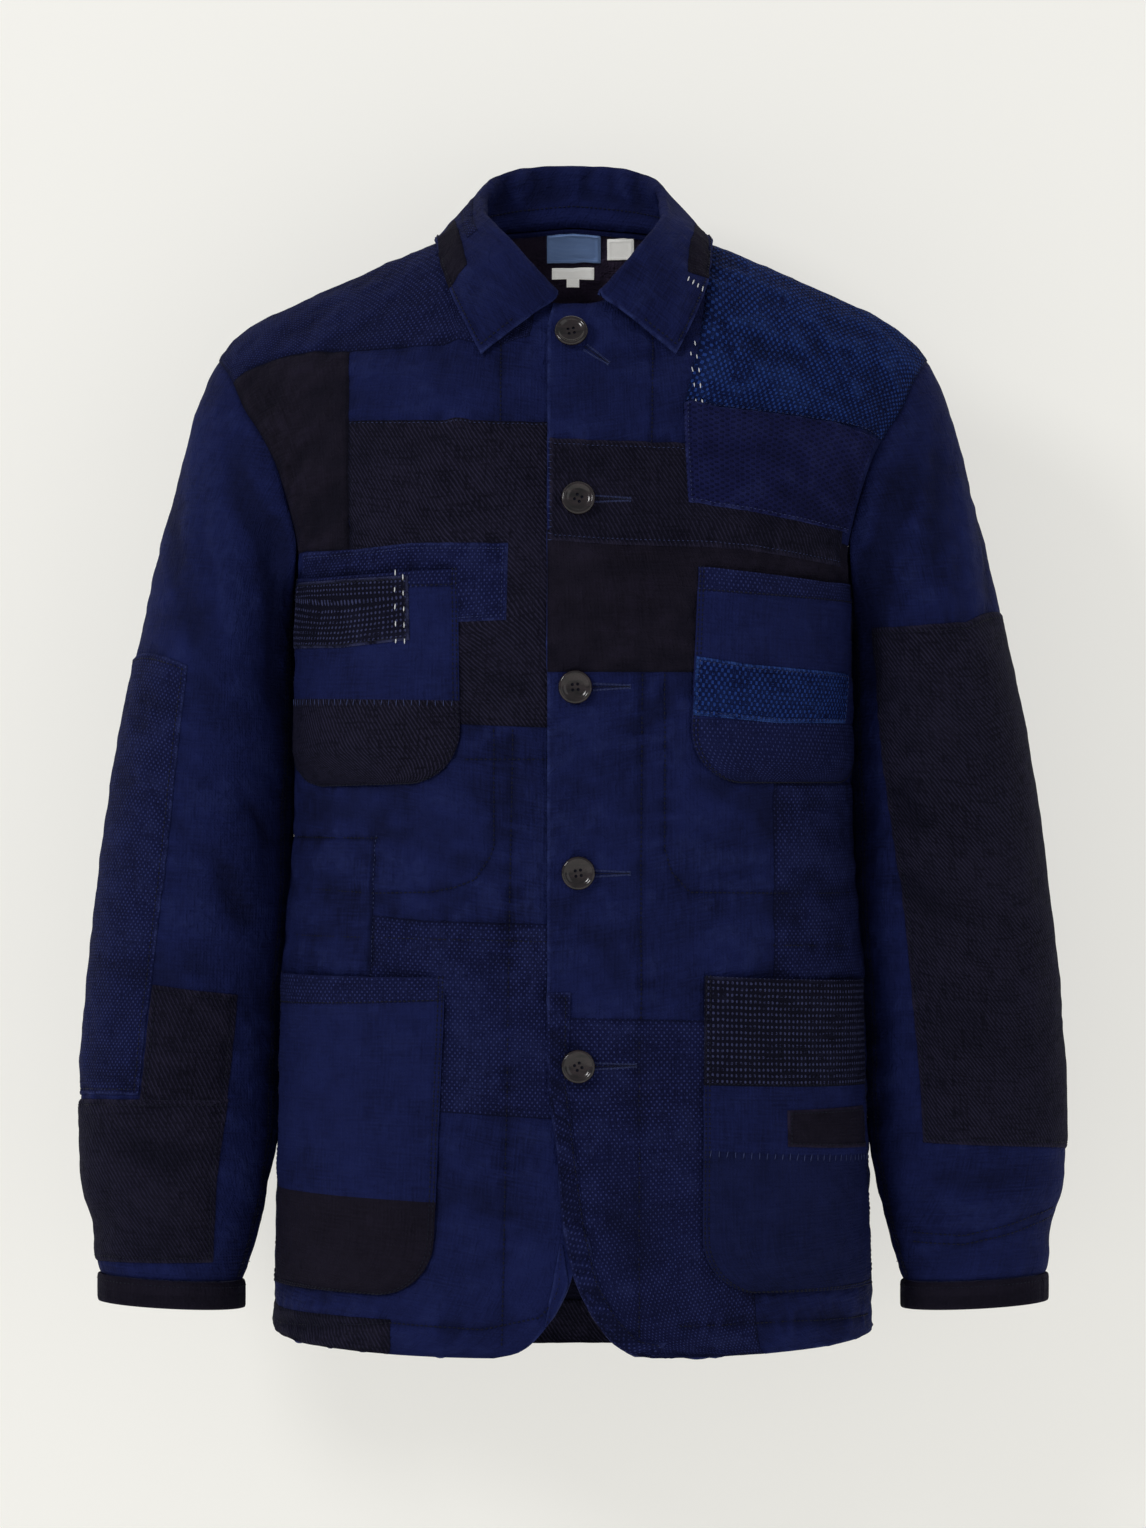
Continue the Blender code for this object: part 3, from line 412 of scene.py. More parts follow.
def clear_of_body(point, side):
    """Moves a point of the collar's leaf out until it clears the body under it."""
    x, y, z = point
    ridge = float(shoulder_line(abs(x)))
    front = y < 0
    surface_y = front_y if front else back_y
    if abs(y) < RIDGE_REACH:
        reach = SHOULDER_ROUND_FRONT if front else SHOULDER_ROUND_BACK
        depth = float((front_depth if front else back_depth)(z) * fullness(x, z))
        top = ridge - reach * (1 - math.sqrt(1 - min(abs(y) / depth, 1) ** 2))
        return np.array([x, y, max(z, top + LEAF_CLEAR)])
    lift = float(lap_lift(x)) if front and side > 0 else 0.0
    out = abs(float(surface_y(x, min(z, ridge)))) + lift + LEAF_CLEAR
    return np.array([x, math.copysign(max(abs(y), out), y), z])


def collar_point(u, v, side):
    """The folded collar from its front end (u = 0) to the centre back, seam (v = 0) to edge."""
    at = {name: float(line(u)) for name, line in collar_line.items()}
    angle = math.radians(at["seam_angle"])
    front = angle <= math.pi / 2
    seam = neckline(angle if front else math.pi - angle, front)
    lift = np.array([0, -float(lap_lift(seam[0])) if front and side > 0 else 0.0, 0])
    fold = np.array([at["fold_x"], at["fold_y"], at["fold_z"]]) * MM + lift
    edge = np.array([at["edge_x"], at["edge_y"], at["edge_z"]]) * MM
    outward = np.array([math.sin(angle), -math.cos(angle), 0])
    seam = seam + lift - outward * COLLAR_SEAM_IN + np.array([0, 0, COLLAR_SEAM_UP])
    low = fold - np.array([0, 0, FOLD_RADIUS])
    inner, outer = low - outward * FOLD_RADIUS, low + outward * FOLD_RADIUS
    line = [seam, (seam + inner) / 2, inner, fold, outer]
    for share in LEAF_SHARES:
        roll = outward * LEAF_ROLL * math.sin(share * math.pi)
        line.append(clear_of_body(outer + (edge - outer) * share + roll, side))
    x, y, z = line[round(v * COLLAR_ROWS)]
    shift = COLLAR_FRONT_SHIFT * min(max(-y / NECK_FRONT, 0), 1)
    return side * x + shift, y, z


def whole_collar(u, v):
    """Both halves of the collar in one run, from the left front end to the right."""
    half = 2 * u
    return collar_point(half, v, 1) if half <= 1 else collar_point(2 - half, v, -1)


# --- A panel of cloth, and what is pressed into it ------------------------------------------

# Points of an outline are (x, z) in mm seen from the front. At is a place on the panel itself,
# and Level is the place across it (u) at the height of a point.
At = namedtuple("At", "u v")
Level = namedtuple("Level", "u x z")
# A crease's height is negative for a trough. A line is a seam or a row of stitches.
Crease = namedtuple("Crease", "points half_width height")
Line = namedtuple("Line", "points thread groove pucker", defaults=("dark", 0.8, 0.8))


# How many random values a wave or a field of hills has before it comes round again.
WAVE_TABLE, HILL_TABLE = 499, 97
# Steps in u and v for the way out of a panel, and for finding a place on it by trial.
NORMAL_STEP, FIND_STEP, FIND_ROUNDS, FIND_STRIDE = 2e-3, 1e-3, 12, 0.05
# A straight line between two points is followed in steps of at most about this many mm.
LINE_STEP = 20


def cubic(t):
    """The weights of four neighbours for a smooth curve between the middle two."""
    return (
        -t / 2 + t**2 - t**3 / 2, 1 - 2.5 * t**2 + 1.5 * t**3, t / 2 + 2 * t**2 - 1.5 * t**3,
        (t**3 - t**2) / 2)


def with_margin(table):
    """The table with one more row all round, straight on from its edges."""
    for axis in (0, 1):
        table = np.swapaxes(table, 0, axis)
        table = np.concatenate([[2 * table[0] - table[1]], table, [2 * table[-1] - table[-2]]])
        table = np.swapaxes(table, 0, axis)
    return table


@functools.lru_cache(None)
def random_table(seed, size):
    return np.random.default_rng(seed).uniform(-1, 1, size)


def ripple(along, seed):
    """A smooth random wave of height 1, with a turn in about every step."""
    table = random_table(seed, WAVE_TABLE)
    step = np.floor(along).astype(int)
    t = along - step
    t = t * t * (3 - 2 * t)
    return table[step % WAVE_TABLE] * (1 - t) + table[(step + 1) % WAVE_TABLE] * t


def crumple(x, y, seed):
    """Smooth random hills and hollows of height 1, one in about every step each way."""
    table = random_table(seed, (HILL_TABLE, HILL_TABLE))
    i, j = np.floor(x).astype(int), np.floor(y).astype(int)
    s, t = x - i, y - j
    s, t = s * s * (3 - 2 * s), t * t * (3 - 2 * t)
    i, j, k, m = (place % HILL_TABLE for place in (i, j, i + 1, j + 1))
    low = table[i, j] * (1 - s) + table[k, j] * s
    high = table[i, m] * (1 - s) + table[k, m] * s
    return low * (1 - t) + high * t


def lengths(points, axis):
    steps = np.linalg.norm(np.diff(points, axis=axis), axis=2)
    start = np.zeros_like(np.take(steps, [0], axis=axis))
    return np.concatenate([start, np.cumsum(steps, axis=axis)], axis=axis)


def nearest(path, points, reach):
    """How far each point is from a path, how far along the path that is, and its length."""
    away = np.full(len(points), reach * 2)
    along = np.zeros(len(points))
    near = np.all((points > path.min(0) - reach) & (points < path.max(0) + reach), axis=1)
    some, best, place, start = points[near], away[near], along[near], 0.0
    for first, second in zip(path[:-1], path[1:]):
        way = second - first
        length = float(np.linalg.norm(way))
        if length < 1e-7:
            continue
        t = np.clip((some - first) @ way / length**2, 0, 1)
        gap = np.linalg.norm(some - first - t[:, None] * way, axis=1)
        closer = gap < best
        best = np.where(closer, gap, best)
        place = np.where(closer, start + t * length, place)
        start += length
    away[near], along[near] = best, place
    return away, along, start


class Panel:
    """A shaped panel: its form as a grid of points, and the creases and lines pressed into it.

    Sewn edges are named by the grid: u0 and u1 across, v0 and v1 up. Calm is the share of the
    crumpling that is left near the u0 edge."""

    def __init__(self, name, place, columns, rows, outward, seed, u_range=(0, 1), sewn="u1 v1",
                 calm=1.0, crumpled=0.9, seen=((0, 1), (0, 1)), base=0.0):
        self.name = name
        self.u_range, self.outward, self.seed, self.base = u_range, outward, seed, base
        self.sewn, self.calm, self.crumpled, self.seen = sewn.split(), calm, crumpled, seen
        us = np.linspace(*u_range, columns + 1)
        vs = np.linspace(0, 1, rows + 1)
        self.us, self.vs = us, vs
        self.points = np.array([[place(float(u), float(v)) for v in vs] for u in us], float)
        across, up = lengths(self.points, 0), lengths(self.points, 1)
        self.cloth = np.dstack([across, up, across[-1:] - across, up[:, -1:] - up])
        self.tables = {"points": with_margin(self.points), "cloth": with_margin(self.cloth)}
        self.creases, self.lines, self.covers, self.paths = [], [], [], {}

    def add_creases(self, *rows):
        self.creases += [Crease(*row) for row in rows]

    def add_lines(self, *rows):
        self.lines += [Line(*row) for row in rows]

    def sample(self, name, u, v):
        table = self.tables[name]
        columns, rows = len(self.us) - 1, len(self.vs) - 1
        x = np.clip((u - self.u_range[0]) / (self.u_range[1] - self.u_range[0]), 0, 1) * columns
        y = np.clip(v, 0, 1) * rows
        i = np.clip(np.floor(x).astype(int), 0, columns - 1)
        j = np.clip(np.floor(y).astype(int), 0, rows - 1)
        total = 0
        for k, a in enumerate(cubic(x - i)):
            for m, b in enumerate(cubic(y - j)):
                total = total + (a * b)[:, None] * table[i + k, j + m]
        return total

    def normal(self, u, v):
        step = NORMAL_STEP
        across = self.sample("points", u + step, v) - self.sample("points", u - step, v)
        up = self.sample("points", u, v + step) - self.sample("points", u, v - step)
        normal = np.cross(across, up) * self.outward
        return normal / np.maximum(np.linalg.norm(normal, axis=1), 1e-12)[:, None]

    def find(self, x, z):
        """The place (u, v) of a point seen from the front at (x, z) mm."""
        (u_low, u_high), (v_low, v_high) = self.seen
        target = np.array([x * MM, z * MM])
        mask_u = (self.us >= u_low - 1e-9) & (self.us <= u_high + 1e-9)
        mask_v = (self.vs >= v_low - 1e-9) & (self.vs <= v_high + 1e-9)
        away = np.linalg.norm(self.points[..., [0, 2]] - target, axis=2)
        away += 0.05 * self.points[..., 1]
        away[~mask_u] = 9
        away[:, ~mask_v] = 9
        i, j = np.unravel_index(np.argmin(away), away.shape)
        u, v = self.us[i], self.vs[j]
        for _ in range(FIND_ROUNDS):
            probes = self.sample("points", np.array([u, u + FIND_STEP, u - FIND_STEP, u, u]),
                                 np.array([v, v, v, v + FIND_STEP, v - FIND_STEP]))[:, [0, 2]]
            span_u = min(u + FIND_STEP, self.u_range[1]) - max(u - FIND_STEP, self.u_range[0])
            span_v = min(v + FIND_STEP, 1) - max(v - FIND_STEP, 0)
            slope = np.column_stack([(probes[1] - probes[2]) / span_u,
                                     (probes[3] - probes[4]) / span_v])
            move = np.linalg.lstsq(slope, target - probes[0], rcond=1e-3)[0]
            move = np.clip(move, -FIND_STRIDE, FIND_STRIDE)
            u = float(np.clip(u + move[0], u_low, u_high))
            v = float(np.clip(v + move[1], v_low, v_high))
        return u, v

    def places(self, points):
        fine = list(points[:1])
        for first, second in zip(points[:-1], points[1:]):
            if not isinstance(first, (At, Level)) and not isinstance(second, (At, Level)):
                # A straight line is followed in short steps, because the grid's own lines bend.
                steps = int(math.dist(first, second) / LINE_STEP) + 1
                for step in range(1, steps):
                    share = step / steps
                    fine.append((first[0] + (second[0] - first[0]) * share,
                                 first[1] + (second[1] - first[1]) * share))
            fine.append(second)
        found = []
        for point in fine:
            if isinstance(point, At):
                found.append((point.u, point.v))
            elif isinstance(point, Level):
                found.append((point.u, self.find(point.x, point.z)[1]))
            else:
                found.append(self.find(*point))
        return np.array(found, float)

    def path(self, points, step=9.0):
        """A fine line over the plain form through these points, kept for the next use."""
        key = (step, *(tuple(point) for point in points))
        if key not in self.paths:
            places = self.places(points)
            fine = [places[:1]]
            for first, second in zip(places[:-1], places[1:]):
                ends = self.sample("points", *np.array([first, second]).T)
                count = max(2, int(np.linalg.norm(ends[1] - ends[0]) / (step * MM)))
                share = np.linspace(0, 1, count + 1)[1:, None]
                fine.append(first + (second - first) * share)
            self.paths[key] = np.concatenate(fine)
        places = self.paths[key]
        return places, self.sample("points", *places.T)

    def relief(self, u, v):
        """How far the cloth stands out of its plain form: crumpling, creases, lines, edges."""
        here = self.sample("points", u, v)
        across, up, to_side, to_top = self.sample("cloth", u, v).T
        from_edge = {"u0": across, "u1": to_side, "v0": up, "v1": to_top}
        x, y = across / MM, up / MM
        height = crumple(x / 27 + y / 90, y / 12, self.seed)
        height += 0.8 * crumple(x / 11, y / 8 + x / 40, self.seed + 1)
        height += 0.4 * crumple(x / 6, y / 5.5, self.seed + 2)
        height *= self.crumpled * (0.75 + 0.45 * crumple(x / 70, y / 60, self.seed + 3))
        for number, crease in enumerate(self.creases):
            reach = crease.half_width * 3 * MM
            away, along, total = nearest(self.path(crease.points)[1], here, reach)
            uneven = ripple(along / (24 * MM), self.seed + 40 + number)
            width = crease.half_width * MM * (1 + 0.3 * uneven)
            taper = np.sin(np.pi * np.clip(along / total, 0.02, 0.98)) ** 0.7
            height += crease.height * bell(away / width) * taper * (1 + 0.25 * uneven)
        for number, line in enumerate(self.lines):
            away, along, _ = nearest(self.path(line.points)[1], here, 24 * MM)
            height -= line.groove * bell(away / (2.2 * MM))
            wave = ripple(along / (5 * MM), self.seed + 80 + number) - 0.3
            height += line.pucker * bell(away / (7 * MM)) * wave
        height *= self.calm + (1 - self.calm) * fade(across, 20 * MM, 42 * MM)
        for edge in self.sewn:
            gap = from_edge[edge]
            along = (up if edge[0] == "u" else across) / (5 * MM)
            height *= fade(gap, -4 * MM, 13 * MM)
            near = bell(gap / (8 * MM)) * fade(gap, 0, 3 * MM)
            height += 0.4 * near * ripple(along, self.seed + 120)
            height -= 0.75 * bell(gap / (2.6 * MM))
        return height * MM

    def surface(self, u, v, lift=0.0, follow=1.0):
        """Points of the outer face, moved out by lift (metres), and the way out there."""
        normal = self.normal(u, v)
        out = self.relief(u, v) * follow + lift + self.base
        return self.sample("points", u, v) + normal * np.reshape(out, (-1, 1)), normal


# --- Making pieces --------------------------------------------------------------------------

ALLOWANCE_LENGTH, ALLOWANCE_DEPTH = 2 * MM, 3 * MM
POCKET_WALL = 1.5 * MM
SHARP_FOLD = math.radians(55)
# Relief at which the cloth is fully rubbed pale on a ridge, or fully given painted shade in a dip.
FULL_WEAR_AND_SHADE = 1.4 * MM
STITCH_IN = 3.6

finishes = {}
stitching = {}

# The finishes, by the names of their materials, and the part's slots that they are for.
PLAIN, DEEP = "indigo_plain_weave", "indigo_plain_deep"
DOTTED, HONEY = "sashiko_dotted", "sashiko_honeycomb"
TWILL, FLAT_TWILL, BLACK = "indigo_black_twill", "indigo_black_twill_flat", "indigo_black_plain"
RICE, RIBBED, LINED, NECK_PAINTED_LIGHT = ("rice_stitch", "running_stitch", "cotton_lining", "cotton_neck_lining")
SLATE, WHITE = "label_slate", "label_white"
SLOTS = {DOTTED: "indigo_dotted", HONEY: "indigo_bright", TWILL: "indigo_dark_twill",
         FLAT_TWILL: "indigo_dark_twill", BLACK: "indigo_dark_twill", RICE: "indigo_rice",
         RIBBED: "indigo_ribbed", NECK_PAINTED_LIGHT: "lining_dark", SLATE: "label_slate", WHITE: "label_white"}


def place_object(name, data):
    piece = bpy.data.objects.new(name, data)
    bpy.context.scene.collection.objects.link(piece)
    return piece


def grid_faces(across, up, flip):
    i, j = np.meshgrid(np.arange(across - 1), np.arange(up - 1), indexing="ij")
    first = (i * up + j).ravel()
    corners = np.column_stack([first, first + up, first + up + 1, first + 1])
    return corners[:, ::-1] if flip else corners


def keep_evaluated(piece):
    """Replaces the piece's mesh by what its modifiers make of it."""
    bpy.context.view_layer.update()
    graph = bpy.context.evaluated_depsgraph_get()
    made = bpy.data.meshes.new_from_object(piece.evaluated_get(graph))
    piece.modifiers.clear()
    piece.data = made


def make_piece(name, points, faces, cloth, worn, names, wall=0.0, inner=0, bands=None):
    """A mesh with its cloth lengths as UVs, and its wear and painted shade as an attribute, given a
    wall if asked.
    """
    mesh = bpy.data.meshes.new(name)
    mesh.from_pydata(np.asarray(points).tolist(), [], np.asarray(faces).tolist())
    corners = np.empty(len(mesh.loops), np.int32)
    mesh.loops.foreach_get("vertex_index", corners)
    lengths_map = mesh.uv_layers.new(name="cloth")
    lengths_map.data.foreach_set("uv", np.asarray(cloth, np.float32)[corners].ravel())
    wear = mesh.attributes.new("worn", "FLOAT", "POINT")
    wear.data.foreach_set("value", np.asarray(worn, np.float32))
    for finish in names:
        mesh.materials.append(finishes[finish])
    if bands is not None:
        mesh.polygons.foreach_set("material_index", np.asarray(bands, np.int32))
    mesh.polygons.foreach_set("use_smooth", np.ones(len(mesh.polygons), bool))
    piece = place_object(name, mesh)
    if wall:
        thick = piece.modifiers.new("Wall", "SOLIDIFY")
        thick.thickness = wall
        thick.offset = -1
        thick.material_offset = inner
        keep_evaluated(piece)
        piece.data.set_sharp_from_angle(angle=SHARP_FOLD)
    return piece


def declare(piece, slot, flat, area, nodes=(), held="draped", rests_on=()):
    """Hangs the piece on the root and hides the parts that it stands for."""
    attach(piece, "root")
    if nodes:
        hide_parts(*nodes)
    width, length = max(flat[0], 0.0105), max(flat[1], 0.0105)
    area = min(max(area, 0.31 * width * length), width * length)


def flat_size(grid):
    """The longest run across a grid of points and up it, and its area."""
    across, up = np.diff(grid, axis=0)[:, :-1], np.diff(grid, axis=1)[:-1]
    area = float(np.linalg.norm(np.cross(across, up), axis=2).sum())
    return (lengths(grid, 0)[-1].max(), lengths(grid, 1)[:, -1].max()), area


def covered(panel, u, v):
    """How far the panel is pressed down under the pieces on it, so that it never shows through."""
    under = np.zeros(len(u))
    here = panel.sample("points", u, v)
    for sewn in panel.covers:
        x, y = sewn.outline.T
        inside = np.zeros(len(u), bool)
        for i in range(len(x)):
            crosses = (y[i - 1] > v) != (y[i] > v)
            with np.errstate(divide="ignore", invalid="ignore"):
                meet = x[i - 1] + (v - y[i - 1]) * (x[i] - x[i - 1]) / (y[i] - y[i - 1])
            inside ^= crosses & (u < meet)
        edge, _, _ = nearest(panel.sample("points", x, y), here, 12 * MM)
        under = np.maximum(under, inside * fade(edge, 0, 3 * MM))
    return under * 0.9 * MM


def with_allowances(grid, normal, sewn):
    """The grid with a strip more along each sewn edge, turned in under the next panel."""
    for edge in sewn:
        axis, last = int(edge[0] == "v"), edge[1] == "1"
        rows, outs = (np.swapaxes(table, 0, axis) for table in (grid, normal))
        if not last:
            rows, outs = rows[::-1], outs[::-1]
        way = rows[-1] - rows[-2]
        way /= np.linalg.norm(way, axis=1)[:, None]
        turned = rows[-1] + way * ALLOWANCE_LENGTH - outs[-1] * ALLOWANCE_DEPTH
        rows = np.concatenate([rows, turned[None]])
        outs = np.concatenate([outs, outs[-1:]])
        if not last:
            rows, outs = rows[::-1], outs[::-1]
        grid, normal = np.swapaxes(rows, 0, axis), np.swapaxes(outs, 0, axis)
    return grid


def add_panel(node, panel, across, up, u_span=None, inner=LINED, wall=CLOTH):
    """The whole panel, or the part of it between two places u, as cloth with a lining inside."""
    width = panel.cloth[:, :, 0].mean(axis=1)
    height = panel.cloth[:, :, 1].mean(axis=0)
    ends = np.interp(u_span or panel.u_range, panel.us, width)
    us = np.interp(np.linspace(*ends, across + 1), width, panel.us)
    vs = np.interp(np.linspace(0, height[-1], up + 1), height, panel.vs)
    u, v = (grid.ravel() for grid in np.meshgrid(us, vs, indexing="ij"))
    points, normal = panel.surface(u, v, -covered(panel, u, v))
    cloth = panel.sample("cloth", u, v)
    # Painted shade where the relief dips into creases, grooves and seams; wear rubbed pale on its
    # ridges and open edges.
    worn = np.clip(panel.relief(u, v) / FULL_WEAR_AND_SHADE, -1, 0.25) * 0.7
    for edge, gap in zip(("u0", "v0", "u1", "v1"), cloth.T):
        if edge not in panel.sewn:
            worn += 0.8 * bell(gap / (1.6 * MM))
    shape = len(us), len(vs)
    seams = [edge for edge in panel.sewn if edge[0] == "v" or not u_span]
    grid = with_allowances(points.reshape(*shape, 3), normal.reshape(*shape, 3), seams)
    more = [[int(side + end in seams) for end in "01"] for side in "uv"]
    cloth = np.pad(cloth[:, :2].reshape(*shape, 2), (*more, (0, 0)), mode="edge")
    worn = np.pad(np.clip(worn, -1, 1).reshape(shape), more, mode="edge")
    faces = grid_faces(*grid.shape[:2], panel.outward < 0)
    piece = make_piece(node + "_cloth", grid.reshape(-1, 3), faces, cloth.reshape(-1, 2),
                       worn.ravel(), (PLAIN, inner), wall=wall, inner=1)
    declare(piece, "indigo_plain", *flat_size(grid), [node])


def spaced(length, step, marks=()):
    """Shares of a side of this length (mm), close together at its ends and at the marks.

    The first and last come twice: there the edge is turned down."""
    near = [0, 0.5, 1.3, 2.4, 3.6, 5.2]
    scale = min(1.0, length / 24)
    ends = [gap * scale for gap in near] + [length - gap * scale for gap in near]
    middle = list(np.linspace(5.2 * scale, length - 5.2 * scale,
                              max(2, int((length - 10.4 * scale) / step)) + 1))
    for mark in marks:
        middle += [mark * length + gap for gap in (-1.8, -0.8, 0, 0.8, 1.8)]
    kept = []
    exact = {round(mark * length, 6) for mark in marks}
    for place in sorted(set(round(p, 6) for p in ends + middle)):
        close = kept and place - kept[-1] < 0.35
        if close and place not in exact and place < length - 0.01:
            continue
        if close and len(kept) > 1 and kept[-1] not in exact:
            kept.pop()
        kept.append(place)
    return np.array([0.0] + kept + [length]) / length


class Sewn:
    """A piece of cloth between four sides, on a panel or on a pocket.

    Shares p run across it in +X and shares q up it. Seams are heights, one pair for each seam
    that crosses it: where it meets the left side and the right. Lift and groove are in mm."""

    wall, stands_for = 0.0, ()

    def __init__(self, panel, finish, top, bottom, left=(), right=(), lift=1.3, pocket=None,
                 follow=1.0, seams=(), inside=False, puckered=0.0, step=2.8, groove=0.2):
        self.panel, self.finish, self.lift, self.pocket = panel, finish, lift, pocket
        self.follow, self.inside, self.puckered = follow, inside, puckered
        self.step, self.groove = step, groove
        sides = (top, bottom, [top[0], *left, bottom[0]], [top[-1], *right, bottom[-1]])
        above, below, left, right = [panel.path(side, step=4.0)[0] for side in sides]
        self.outline = np.concatenate([above, right[1:], below[::-1][1:], left[::-1][1:]])
        lows = [self.share_at(left, seam[0]) for seam in seams]
        highs = [self.share_at(right, seam[1]) for seam in seams]
        common = [(low + high) / 2 for low, high in zip(lows, highs)]
        self.seams = sorted(1 - share for share in common)
        self.left = self.side(left, common, lows)
        self.right = self.side(right, common, highs)
        across = [below]
        for share in sorted(common, reverse=True):
            ends = np.stack([self.left(share), self.right(share)])
            seam = panel.sample("points", *ends.T)[:, [0, 2]] / MM
            across.append(panel.path([tuple(end) for end in seam], step=4.0)[0])
        self.rows = [self.side(line) for line in [*across, above]]
        self.width = self.run_length((0, 1), (0.5, 0.5))
        self.height = self.run_length((0.5, 0.5), (0, 1))

    def line_lengths(self, places):
        points = self.panel.sample("points", *places.T)
        return np.concatenate([[0], np.cumsum(np.linalg.norm(np.diff(points, axis=0), axis=1))])

    def share_at(self, places, z):
        """The share of a side's length, from its top, at which it passes this height."""
        heights = self.panel.sample("points", *places.T)[:, 2]
        run = self.line_lengths(places)
        return float(np.interp(-z * MM, -heights, run) / run[-1])

    def side(self, places, common=(), own=()):
        """A side's places by share of its length, where seams meet it at their common shares."""
        run = self.line_lengths(places)
        run = run / run[-1]

        def at(share):
            share = np.interp(share, [0, *common, 1], [0, *own, 1])
            return np.stack([np.interp(share, run, places[:, k]) for k in (0, 1)], axis=-1)

        return at

    def run_length(self, p, q):
        places = self.places(np.linspace(*p, 30), np.linspace(*q, 30))
        points = self.panel.sample("points", *places.T)
        return np.linalg.norm(np.diff(points, axis=0), axis=1).sum() / MM

    def places(self, p, q):
        """The panel's places at shares p across and q up, filled in from the sides and seams."""
        p, q = np.broadcast_arrays(np.asarray(p, float), np.asarray(q, float))
        found = np.empty((len(p), 2))
        levels = [0, *self.seams, 1]
        band = np.clip(np.searchsorted(levels, q, side="right") - 1, 0, len(levels) - 2)
        for number in range(len(levels) - 1):
            here = band == number
            low, high = self.rows[number], self.rows[number + 1]
            t = ((q[here] - levels[number]) / (levels[number + 1] - levels[number]))[:, None]
            s = p[here][:, None]
            sides = (1 - s) * self.left(1 - q[here]) + s * self.right(1 - q[here])
            between = (1 - t) * low(p[here]) + t * high(p[here])
            corners = (1 - t) * ((1 - s) * low(0.0) + s * low(1.0))
            corners = corners + t * ((1 - s) * high(0.0) + s * high(1.0))
            found[here] = between + sides - corners
        return found

    def from_edges(self, p, q):
        """How far (mm) each place is from the nearest side."""
        return np.minimum.reduce([p * self.width, (1 - p) * self.width,
                                  q * self.height, (1 - q) * self.height])

    def wave(self, p, q):
        return ripple((p * self.width + q * self.height) / 4.4, self.panel.seed + int(self.width))

    def rise(self, p, q, here):
        """How far the face stands off the panel, in metres."""
        gap = self.from_edges(p, q)
        if self.lift < 0.8:
            # Pieced in flush: its edges roll down into the seam.
            out = 0.25 + (self.lift - 0.25) * fade(gap, 0, 3)
        else:
            out = self.lift * (0.55 + 0.45 * fade(gap, 0, 1.4))
            out += 0.2 * bell((gap - 2.0) / 1.2)
            out -= 0.38 * bell((gap - STITCH_IN) / 1.0)
        waves = 0.4 * bell((gap - 5) / 5) + self.puckered * fade(gap, 0, 3)
        out = out + waves * self.wave(p, q)
        if self.pocket:
            out = out + self.pocket.pocket_rise(here)
        if self.inside:
            out = -(CLOTH / MM + 0.6 + out)
        return out * MM

    def surface(self, p, q, more=0.0):
        places = self.places(p, q)
        here = self.panel.sample("points", *places.T)
        return self.panel.surface(*places.T, self.rise(p, q, here) + more, self.follow)


class Pocket(Sewn):
    """A patch pocket: pressed down along its sewn sides, full inside, and open at its mouth.

    Its corners are (x, z, radius) in mm, clockwise from the upper one at the left of the view."""

    wall = POCKET_WALL

    def __init__(self, name, panel, finish, corners, seams, bow, step):
        top_left, top_right, bottom_right, bottom_left = corners
        low_left = arc(top_left, bottom_left, bottom_right)
        low_right = arc(bottom_left, bottom_right, top_right)
        left, right = low_left[:-1], low_right[:0:-1]
        bottom = [low_left[-1], low_right[0]]
        top = [top_left[:2], top_right[:2]]
        self.name, self.bow = name, bow
        self.seed = panel.seed + 300 + int(abs(top_left[0]))
        sewn = [top[0], *left, *bottom, *right[::-1], top[1]]
        self.sewn_path = panel.path(sewn, step=6.0)[1]
        self.mouth_path = panel.path(top, step=6.0)[1]
        super().__init__(panel, finish, top, bottom, left, right, lift=0, follow=0.4, seams=seams,
                         step=step)

    def pocket_rise(self, here):
        side, _, _ = nearest(self.sewn_path, here, 90 * MM)
        mouth, _, _ = nearest(self.mouth_path, here, 90 * MM)
        out = 1.75 + 1.0 * fade(side, 0, 8 * MM)
        out += self.bow * fade(side, 2 * MM, 36 * MM) * bell(mouth / (30 * MM))
        x, z = here[:, 0] / MM, here[:, 2] / MM
        hold = fade(side, 0, 14 * MM)
        out += hold * 0.5 * crumple(x / 31 + z / 50, z / 15, self.seed)
        return out + (0.3 + 0.7 * hold) * 0.22 * crumple(x / 9, z / 8, self.seed + 1)

    def rise(self, p, q, here):
        side, along, _ = nearest(self.sewn_path, here, 20 * MM)
        out = self.pocket_rise(here) - 0.55 * bell(side / (0.9 * MM))
        out -= 0.45 * bell((side - 3.8 * MM) / (1.1 * MM))
        out += 0.4 * bell(side / (8 * MM)) * ripple(along / (4.5 * MM), self.seed + 2)
        for seam in self.seams:
            out -= 0.45 * bell((q - seam) * self.height / 1.3)
        return out * MM


def arc(before, corner, after):
    """The points that round one corner of an outline, from the side before to the side after."""
    here, radius = np.array(corner[:2], float), corner[2]
    if not radius:
        return [tuple(here)]
    to_before, to_after = (np.array(other[:2]) - here for other in (before, after))
    to_before, to_after = (way / np.linalg.norm(way) for way in (to_before, to_after))
    half = math.acos(float(np.clip(to_before @ to_after, -1, 1))) / 2
    inward = (to_before + to_after) / np.linalg.norm(to_before + to_after)
    middle = here + inward * (radius / math.sin(half))
    start = here + to_before * radius / math.tan(half) - middle
    end = here + to_after * radius / math.tan(half) - middle
    turn = math.acos(float(np.clip(start @ end / radius**2, -1, 1)))
    return [tuple(middle + (math.sin((1 - t) * turn) * start + math.sin(t * turn) * end)
                  / math.sin(turn)) for t in np.linspace(0, 1, 9)]


